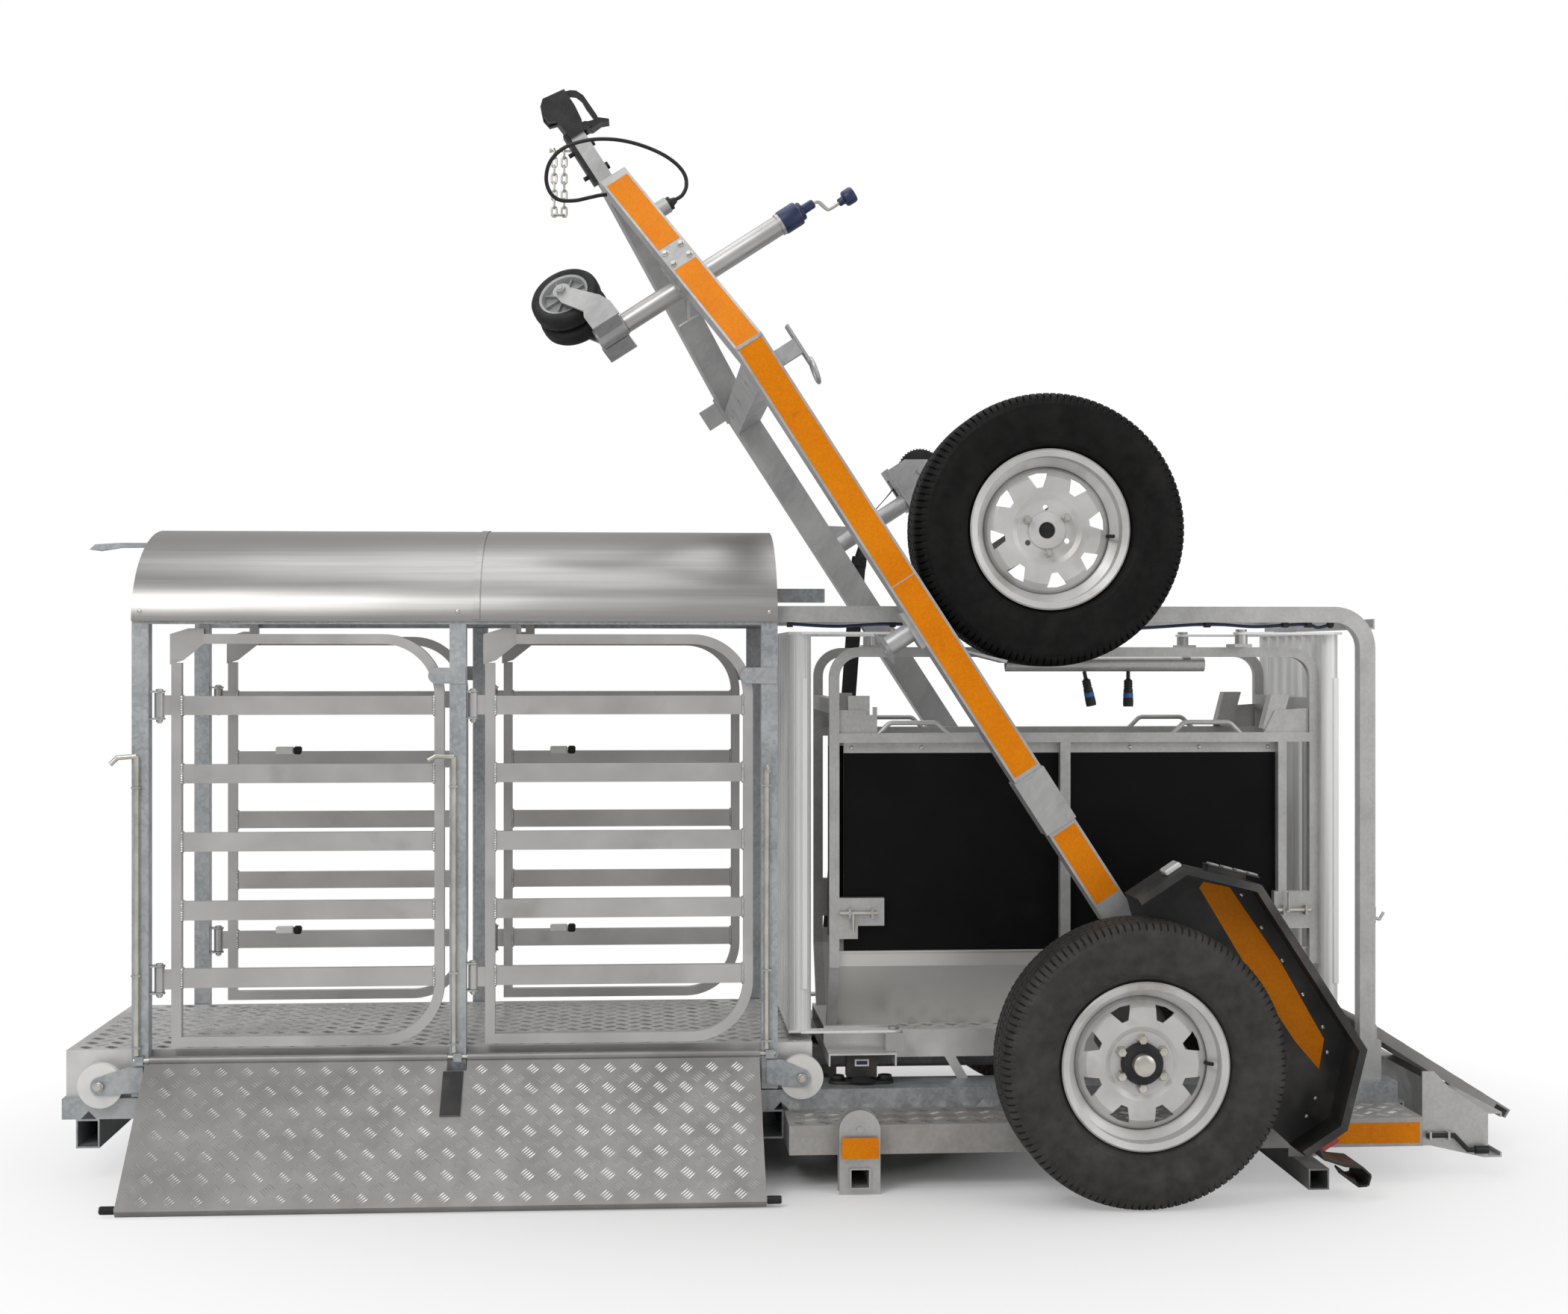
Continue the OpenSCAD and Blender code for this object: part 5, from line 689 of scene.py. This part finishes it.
def tread(u0, u1, v0, v1, step=0.044, keep_out=()):
    """Bars on the plane of u and v. Groups stand on a square net turned by 45 degrees; the group at (i, j) is
    turned by a quarter turn when i + j is odd. Bars that would cross the plate's edge are left out."""
    n = int((u1 - u0 + v1 - v0) / step) + 3
    i, j = (g.ravel() for g in np.meshgrid(np.arange(-n, n), np.arange(-n, n), indexing="ij"))
    s = step / 2**0.5
    cu, cv = (i - j) * s + (u0 + u1) / 2, (i + j) * s + (v0 + v1) / 2
    a = pi / 4 + (i + j) % 2 * pi / 2
    offset = (np.arange(5) - 2) * 0.0066
    u = (cu[:, None] - np.sin(a)[:, None] * offset).ravel()
    v = (cv[:, None] + np.cos(a)[:, None] * offset).ravel()
    a = np.repeat(a, 5)
    half = 0.0135
    ok = (u - half > u0) & (u + half < u1) & (v - half > v0) & (v + half < v1)
    for a0, a1, b0, b1 in keep_out:
        ok &= ~((u > a0 - half) & (u < a1 + half) & (v > b0 - half) & (v < b1 + half))
    u, v, a = u[ok], v[ok], a[ok]
    c, z = np.cos(a), 0 * a
    turn = np.stack([np.stack([c, -np.sin(a), z], -1), np.stack([np.sin(a), c, z], -1), np.stack([z, z, z + 1], -1)], 1)
    small = (BAR[0] * (half, 0.0017, 0.0013), BAR[1])
    return copies(small, np.stack([u, v, z], -1), turn)


SLOPE = radians(41)
RAMP_AXIS = (0, -0.398, 0.300)
ramp_turn = np.array([[1, 0, 0], [0, cos(SLOPE), -sin(SLOPE)], [0, sin(SLOPE), cos(SLOPE)]])
ramp_bars = tread(-1.618, -0.143, -0.428, -0.018, keep_out=[(-0.910, -0.855, -0.18, 0.0)])
ramp_bars = placed(ramp_bars, RAMP_AXIS, ramp_turn)
piece("near_ramp_tread", ramp_bars, "near_ramp", "tread_bar", weld=False)
piece("far_ramp_tread", mirror(ramp_bars), "far_ramp", "tread_bar", weld=False)
floor_bars = tread(-1.820, -0.008, -0.341, 0.341)
piece("floor_tread", placed(floor_bars, (0, 0, 0.318)), "base", "tread_bar", weld=False)
step_bars = tread(-0.072, 1.466, -0.556, -0.376)
piece("step_tread", both(placed(step_bars, (0, 0, 0.155))), "base", "tread_bar", weld=False)
tray_bars = tread(0.212, 1.141, -0.246, 0.246)
piece("crate_floor_tread", placed(tray_bars, (0, 0, 0.330)), "base", "tread_bar", weld=False)
ENTRY = radians(32)
entry_turn = np.array([[cos(ENTRY), 0, sin(ENTRY)], [0, 1, 0], [-sin(ENTRY), 0, cos(ENTRY)]])
entry_bars = tread(0.016, 0.424, -0.211, 0.211)
entry_bars = placed(placed(entry_bars, (0, 0, 0.011)), (1.456, 0, 0.316), entry_turn)
piece("entry_ramp_tread", entry_bars, "entry_ramp", "tread_bar", weld=False)
print("tread bars:", sum(made[n] for n in made if n.endswith("tread")) // 7)

# %% [markdown]
# Orange reflecting tape makes the machine visible on the road: four strips along the near beam, one on the
# step, one on each foot bracket and one inside the mudguard. They carry no words here. Each strip is a sheet
# half a millimetre thick laid just proud of the face it sticks to.

# %% Reflecting tape
near_a, near_b = np.array([-2.490, -0.034, 0.1635]), np.array([-1.904, -0.5425, 0.1635])
run = unit(near_b - near_a)
out = np.array([run[1], -run[0], 0.0])
face = 0.0375 + 0.0004


def splay_point(s, z=0.1635, lift=face):
    """A point on the outer face of the splayed beam, s metres down from its top."""
    return near_a + run * s + out * lift + (0, 0, z - 0.1635)


def tape(a, b, width=0.063):
    """A thin strip from a to b."""
    return bar(a, b, (0, 0, 1), width, 0.0006, 0.0002)


strips = [tape(splay_point(a), splay_point(b)) for a, b in ((0.030, 0.352), (0.446, 0.803))]
strips += [tape((a, -0.5904, 0.1635), (b, -0.5904, 0.1635))
           for a, b in ((-1.9050, -1.236), (-1.233, -0.692), (-0.524, -0.330))]
carried("beam_tape", join([both(s) for s in strips]), "orange_tape")
step_tape = tape((1.230, -0.5604, 0.118), (1.462, -0.5604, 0.118), 0.050)
foot_tape = tape((0.045, -0.6184, 0.112), (0.133, -0.6184, 0.112), 0.050)
piece("step_tape", both(join([step_tape, foot_tape])), "base", "orange_tape")
corner = bead((-1.9062, -0.5905, 0.128), (-1.9062, -0.5905, 0.199), 0.0022)
piece("bend_weld", raised(both(corner)), "carriage", "weld", weld=False)
clamp_at = [splay_point(s, 0.1635 + dz, 0.0375) for s in (0.374, 0.424) for dz in (-0.023, 0.023)]
carried("clamp_heads", bolts(clamp_at, out, 0.0075), "zinc")
print("tape strips:", 2 * (len(strips) + 2))

# %% [markdown]
# Black mudguards carry the lamps: a small clear lamp on the front face, a lamp strip on the slope above it and a
# red lamp at the tail. An orange strip and a row of screws run along the inner plate.

# %% Mudguard fittings
GUARD_FACE = -0.631
tape_edge = np.array([(-0.236, 0.356), (-0.243, 0.372), (-0.197, 0.418), (0.020, 0.424), (0.234, 0.412),
                      (0.288, 0.362), (0.200, 0.350), (0.0, 0.348)])
carried("guard_tape", both(plate_xz(tape_edge, GUARD_FACE - 0.0007, GUARD_FACE)), "orange_tape")
slope = unit(np.array([0.135, 0, 0.127]))
normal = np.array([-slope[2], 0, slope[0]])
strip_at = np.array([-0.257, -0.699, 0.399]) + normal * 0.0145
housing = bar(strip_at - slope * 0.032, strip_at + slope * 0.094, (0, 1, 0), 0.052, 0.004, 0.001)
lenses = join([bar(strip_at + slope * (k - 0.011) + normal * 0.004, strip_at + slope * (k + 0.011) + normal * 0.004,
                   (0, 1, 0), 0.038, 0.005, 0.0015) for k in (-0.015, 0.018, 0.051, 0.080)])
lamp = box((-0.339, -0.744, 0.290), (-0.3251, -0.690, 0.332), 0.003)
tail = box((0.4022, -0.757, 0.244), (0.4150, -0.705, 0.292), 0.002)
for name, shape, key in (("marker_lamps", lamp, "lamp_clear"), ("strip_lenses", lenses, "jockey_grey"),
                         ("lamp_housings", housing, "black_moulded"), ("tail_lamps", tail, "lamp_red")):
    carried(name, both(shape), key)
screw_xz = np.array([(-0.166, 0.433), (-0.073, 0.431), (0.021, 0.430), (0.117, 0.428), (0.209, 0.426),
                     (0.266, 0.402), (0.342, 0.318), (0.366, 0.276)])
screw_places = np.insert(screw_xz, 1, GUARD_FACE - 0.0001, axis=1)
carried("guard_screws", both(rivets(screw_places, (0, -1, 0), 0.0055)), "zinc")
print("guard screws:", 2 * len(screw_xz))

# %% [markdown]
# The winch strap runs from the drum down behind the beams to a pin in the far foot bracket. It leaves the drum
# flat, turns through a quarter turn and ends flat on the link. It is a thin rounded section carried along its
# route and turned as it goes.

# %% Winch strap
strap_route = np.array([(346.7, 614.5, 1838.0), (307.3, 614.5, 1765.2), (252, 614.5, 1698), (240, 614.5, 1660),
                        (228, 614.5, 1620), (218, 614.5, 1580), (210, 614.5, 1540), (204, 614.5, 1500),
                        (149, 589, 800), (105, 584, 300), (90, 583, 214)]) / 1000
n = 181
along = np.linspace(0, 10, n)
route = smooth_line(strap_route, n)
twist = np.radians(np.interp(along, np.arange(11), [0, 0, 4, 18, 36, 54, 72, 86, 90, 90, 90]))[:, None]
run_s = unit(np.gradient(route, axis=0))
across_y = unit(np.cross(run_s, np.cross((0, 1, 0), run_s)))
sideways = unit(np.cross(run_s, across_y))
wide_dir = np.cos(twist) * across_y + np.sin(twist) * sideways
thin_dir = np.cross(run_s, wide_dir)
section = np.array([(-1, -0.5), (-0.97, -1), (0, -1), (0.97, -1), (1, -0.5), (1, 0.5), (0.97, 1), (0, 1), (-0.97, 1),
                    (-1, 0.5)]) * (0.0215, 0.0012)
points = route[:, None] + section[:, :1] * wide_dir[:, None] + section[:, 1:] * thin_dir[:, None]
strap_faces = grid(n, 10, loop_v=True) + [list(range(10)), list(range((n - 1) * 10, n * 10))]
strap = piece("winch_strap", (points.reshape(-1, 3), strap_faces), None, "webbing", "lift_strap", 60, weld=False)
layer = strap.data.uv_layers.new(name="strap")
index = np.zeros(len(strap.data.loops), dtype=np.int32)
strap.data.loops.foreach_get("vertex_index", index)
length_at = np.concatenate([[0], np.cumsum(np.linalg.norm(np.diff(route, axis=0), axis=1))])
uv_pairs = np.stack([length_at[index // 10], section[index % 10, 0] + 0.03], -1)
layer.data.foreach_set("uv", uv_pairs.astype(np.float32).ravel())
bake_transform(strap)
link = join([bar((0.089, 0.581, 0.150), (0.089, 0.581, 0.214), (1, 0, 0), 0.040, 0.006),
             box((0.064, 0.577, 0.206), (0.114, 0.589, 0.220), 0.003)])
piece("strap_link", link, "base", "zinc", "lift_strap")
print("strap length, metres:", round(float(length_at[-1]), 2))

# %% [markdown]
# The jockey wheels are a pair of small ribbed wheels on one axle under the drawbar's tube, turned out of line with
# the road wheels. Above the tube stands a navy cap with a bent rod and a round knob.

# %% Jockey wheels and crank
JOCKEY = np.array([-2.150, -0.2251, 0])
a = radians(-41)
jockey_turn = np.array([[cos(a), -sin(a), 0], [sin(a), cos(a), 0], [0, 0, 1]])
tread_ring = lathe([(0.066, -0.021), (0.077, -0.0245), (0.086, -0.0225), (0.0905, -0.016), (0.092, -0.006),
                    (0.0905, 0.0), (0.092, 0.006), (0.0905, 0.016), (0.086, 0.0225), (0.077, 0.0245), (0.066, 0.021)],
                   64, True)
rim_ring = lathe([(0.016, -0.006), (0.054, -0.004), (0.060, -0.020), (0.0665, -0.0222), (0.0665, 0.0222),
                  (0.060, 0.020), (0.054, 0.004), (0.016, 0.006)], 48, True)
hub_tube = lathe([(0.0085, -0.0248), (0.0175, -0.0248), (0.0185, -0.020), (0.0185, 0.020), (0.0175, 0.0248),
                  (0.0085, 0.0248)], 32, True)
spokes = join([bar((0.015 * cos(k), 0.015 * sin(k), 0), (0.058 * cos(k), 0.058 * sin(k), 0), (0, 0, 1), 0.030, 0.0035)
               for k in np.arange(8) * pi / 4])
along_y = np.array([[1, 0, 0], [0, 0, 1], [0, 1, 0]])


def on_jockey(shape, side):
    """From the wheel's own axis to the machine: z becomes the axle, then the fork's turn about the tube."""
    local = shape[0] @ along_y.T + (-0.164, side * 0.028, -0.119)
    return raised((local @ jockey_turn.T + JOCKEY, shape[1]))


jockey_tyres = join([on_jockey(tread_ring, s) for s in (-1, 1)])
piece("jockey_tyres", jockey_tyres, "jockey_wheels", "small_rubber", "jockey_wheels", 50)
jockey_centres = join([on_jockey(join([rim_ring, hub_tube, spokes]), s) for s in (-1, 1)])
piece("jockey_centres", jockey_centres, "jockey_wheels", "jockey_grey", "jockey_wheels")
cap = lathe([(0.0235, 0.4925), (0.0242, 0.4940), (0.0242, 0.5010), (0.0225, 0.5035), (0.0125, 0.5045),
             (0.0118, 0.5350), (0.0100, 0.5375)], 40)
knob = lathe([(0.0085, 0.592), (0.0100, 0.594), (0.0105, 0.606), (0.0190, 0.6095), (0.0210, 0.614),
              (0.0212, 0.632), (0.0190, 0.6375), (0.0080, 0.6385)], 32)
rod = sweep(smooth_line([(0, 0, 0.530), (0, 0, 0.544), (0.006, 0, 0.551), (0.028, 0, 0.5575), (0.034, 0, 0.566),
                         (0.034, 0, 0.604)], 40), circle(0.005, 12))
collar = lathe([(0.0292, 0.440), (0.0305, 0.4405), (0.0312, 0.446), (0.0312, 0.488), (0.0300, 0.4915),
                (0.0250, 0.4922)], 48)
carried("jockey_collar", placed(collar, JOCKEY), "navy")
for name, shape, key in (("crank_cap", cap, "navy"), ("crank_knob", placed(knob, (0.034, 0, 0)), "navy"),
                         ("crank_rod", rod, "zinc")):
    piece(name, raised(placed(shape, JOCKEY)), "jockey_crank", key, "jockey_crank")
print("jockey wheel faces:", made["jockey_tyres"] + made["jockey_centres"])

# %% [markdown]
# Small hardware: bolts on the clamp plate, the coil of strap on the winch drum, black sleeves on the ramps' hand
# grips, a thin black sheet in front of each middle post that paints the shade of the slot there, roller bolts,
# screws along the black panels' upper strips, and the small white and black clamps on the far gates. They show
# what is bolted and what is welded.

# %% Small hardware
plate_bolts = bolts([(x, -0.0432, z) for x in (-0.041, 0.041) for z in (0.008, 0.067)], (0, -1, 0), 0.008)
carried("clamp_bolts", placed(plate_bolts, JOCKEY + (0, 0, 0.126), jockey_turn), "zinc")
coil = lathe([(0.0424, -0.021), (0.0446, -0.0215), (0.0450, -0.0205), (0.0450, 0.0205), (0.0446, 0.0215),
              (0.0424, 0.021)], 48, True)
piece("strap_coil", raised(placed(coil, (-1.432, 0.6145, 0.520), along_y)), "winch_drum", "small_rubber")
grips = []
for x0, x1 in ((-1.656, -1.624), (-0.137, -0.105)):
    sleeve = sweep([(x0, 0, 0), (x0 + 0.002, 0, 0), (x1 - 0.002, 0, 0), (x1, 0, 0)], circle(0.0098, 16),
                   scale=[0.9, 1, 1, 0.9])
    grips.append(placed(sleeve, (0, -0.420, -0.010)))
# painted shade: a thin black sheet on the ramp where the slot in front of the middle post lies in shade
keeper = box((-0.9065, -0.1775, 0.0040), (-0.8575, -0.0465, 0.0050), 0.0004)
for part, shape, key in (("keeper", keeper, "black_moulded"), ("grips", join(grips), "small_rubber")):
    shape = placed(shape, RAMP_AXIS, ramp_turn)
    piece(f"near_ramp_{part}", shape, "near_ramp", key)
    piece(f"far_ramp_{part}", mirror(shape), "far_ramp", key)
roller_bolts = bolts([(x, -0.4102, 0.239) for x in (-1.732, -0.034)], (0, -1, 0), 0.009)
piece("roller_bolts", both(roller_bolts), "module", "zinc")
panel_screws = rivets([(x, -0.2372, 1.0445) for x in np.linspace(0.105, 1.180, 7)], (0, -1, 0), 0.006)
piece("panel_screws", both(panel_screws), "base", "zinc")
feet = copies(lathe([(0.0185, 0), (0.019, 0.006), (0.015, 0.0115), (0.006, 0.014)], 20),
              [(x + dx, -0.297, 0.213) for x in (0.123, 1.230) for dx in (-0.060, 0.060)], np.eye(3))
piece("cell_feet", both(feet), "base", "cast_black")
for part, grow, lift, key in (("frame", 0.0, 0.0, "nylon"), ("window", 0.004, 0.0006, "navy")):
    plates = [box((x - 0.018 + grow, -0.3186 - lift, 0.250 + grow), (x + 0.018 - grow, -0.3171, 0.268 - grow), 0.001)
              for x in (0.123, 1.230)]
    piece(f"cell_{part}", both(join(plates)), "base", key)
for gate, x in (("gate_left_far", -1.396), ("gate_right_far", -0.641)):
    for n, z in enumerate((1.0145, 0.5175)):
        pad = box((x - 0.040, 0.350, z - 0.008), (x + 0.008, 0.374, z + 0.012), 0.003)
        toe = box((x + 0.009, 0.350, z - 0.009), (x + 0.030, 0.374, z + 0.013), 0.004)
        piece(f"{gate}_pad_{n + 1}", pad, gate, "nylon")
        piece(f"{gate}_toe_{n + 1}", toe, gate, "small_rubber")
print("clamp pads:", 4)

# %% [markdown]
# Weld beads sit wherever a rail meets an upright. A gate has five rails, welded at both ends and on both faces;
# a bead is a thin rod that swells and shrinks like laid metal.

# %% Weld beads
RAIL_Z = (0.494, 0.658, 0.825, 0.991, 1.157)
for side, word in ((-1, "near"), (1, "far")):
    for gate, pivot in (("left", -1.595), ("right", -0.839)):
        left = pivot + 0.029 + 0.023
        right = pivot + 0.029 + 0.657 - 0.023
        rods = []
        for x, step in ((left, 0.002), (right, -0.002)):
            for z in RAIL_Z:
                rods += [bead((x + step, y, z - 0.024), (x + step, y, z + 0.024), 0.003) for y in (-0.3772, -0.3528)]
                rods += [bead((x + step, -0.376, z + e), (x + step, -0.354, z + e), 0.003) for e in (-0.0232, 0.0232)]
        shape = mirror(join(rods)) if side > 0 else join(rods)
        piece(f"gate_beads_{gate}_{word}", shape, f"gate_{gate}_{word}", "weld", weld=False)
print("beads:", sum(name.startswith("gate_beads") for name in made) * 40)

# %% [markdown]
# The floor and the light. A pale floor keeps the shadow under the machine, and to the camera it fades to white
# further out. The world is white to the camera and dimmer where it lights the piece or is seen in its metal, so
# that a colour renders about as it is written.

# %% Floor, world and lamps
floor = bpy.data.objects.new("floor", bpy.data.meshes.new("floor"))
floor.data.from_pydata([(-40, -40, 0), (40, -40, 0), (40, 40, 0), (-40, 40, 0)], [], [(0, 1, 2, 3)])
scene.collection.objects.link(floor)
mat = bpy.data.materials.new("pale_floor")
mat.use_nodes = True
t = mat.node_tree
t.nodes["Principled BSDF"].inputs["Base Color"].default_value = (0.86, 0.86, 0.86, 1)
t.nodes["Principled BSDF"].inputs["Roughness"].default_value = 0.9
seen = t.nodes.new("ShaderNodeLightPath")
white = t.nodes.new("ShaderNodeEmission")
white.inputs["Color"].default_value = (1, 1, 1, 1)
place = t.nodes.new("ShaderNodeTexCoord")
far = t.nodes.new("ShaderNodeVectorMath")
far.operation = "LENGTH"
t.links.new(place.outputs["Object"], far.inputs[0])
fade = t.nodes.new("ShaderNodeMapRange")
fade.inputs["From Min"].default_value = 0.4
fade.inputs["From Max"].default_value = 2.4
t.links.new(far.outputs["Value"], fade.inputs["Value"])
share = t.nodes.new("ShaderNodeMath")
share.operation = "MULTIPLY"
t.links.new(fade.outputs["Result"], share.inputs[0])
t.links.new(seen.outputs["Is Camera Ray"], share.inputs[1])
mix = t.nodes.new("ShaderNodeMixShader")
t.links.new(share.outputs["Value"], mix.inputs["Fac"])
t.links.new(t.nodes["Principled BSDF"].outputs["BSDF"], mix.inputs[1])
t.links.new(white.outputs["Emission"], mix.inputs[2])
t.links.new(mix.outputs["Shader"], t.nodes["Material Output"].inputs["Surface"])
floor.data.materials.append(mat)

world = bpy.data.worlds.new("studio")
scene.world = world
world.use_nodes = True
t = world.node_tree
soft = t.nodes["Background"]
soft.inputs["Color"].default_value = (1, 1, 1, 1)
soft.inputs["Strength"].default_value = 0.50
seen = t.nodes.new("ShaderNodeBackground")
seen.inputs["Color"].default_value = (1, 1, 1, 1)
ray = t.nodes.new("ShaderNodeLightPath")
either = t.nodes.new("ShaderNodeMath")
either.operation = "MAXIMUM"
t.links.new(ray.outputs["Is Camera Ray"], either.inputs[0])
t.links.new(ray.outputs["Is Transmission Ray"], either.inputs[1])
mix = t.nodes.new("ShaderNodeMixShader")
t.links.new(either.outputs["Value"], mix.inputs["Fac"])
t.links.new(soft.outputs["Background"], mix.inputs[1])
t.links.new(seen.outputs["Background"], mix.inputs[2])
t.links.new(mix.outputs["Shader"], t.nodes["World Output"].inputs["Surface"])
for name, place, power, size in (("key", (-2.6, -4.2, 4.6), 105, 2.4), ("fill", (4.0, -3.6, 2.6), 45, 3.0),
                                 ("top", (-0.2, 0.3, 5.2), 66, 3.6)):
    lamp = bpy.data.objects.new(name, bpy.data.lights.new(name, "AREA"))
    lamp.data.energy = power
    lamp.data.size = size
    lamp.location = place
    aim = np.array([0.0, 0.0, 0.9]) - place
    lamp.rotation_mode = "QUATERNION"
    lamp.rotation_quaternion = Vector(aim).to_track_quat("-Z", "Y")
    scene.collection.objects.link(lamp)
scene.view_settings.view_transform = "Standard"
print("lamps:", 3)

# %% [markdown]
# The last step prints how many pieces were made and how many faces they have.

# %% Size and hand over
print("pieces made:", len(made), "faces:", sum(made.values()))
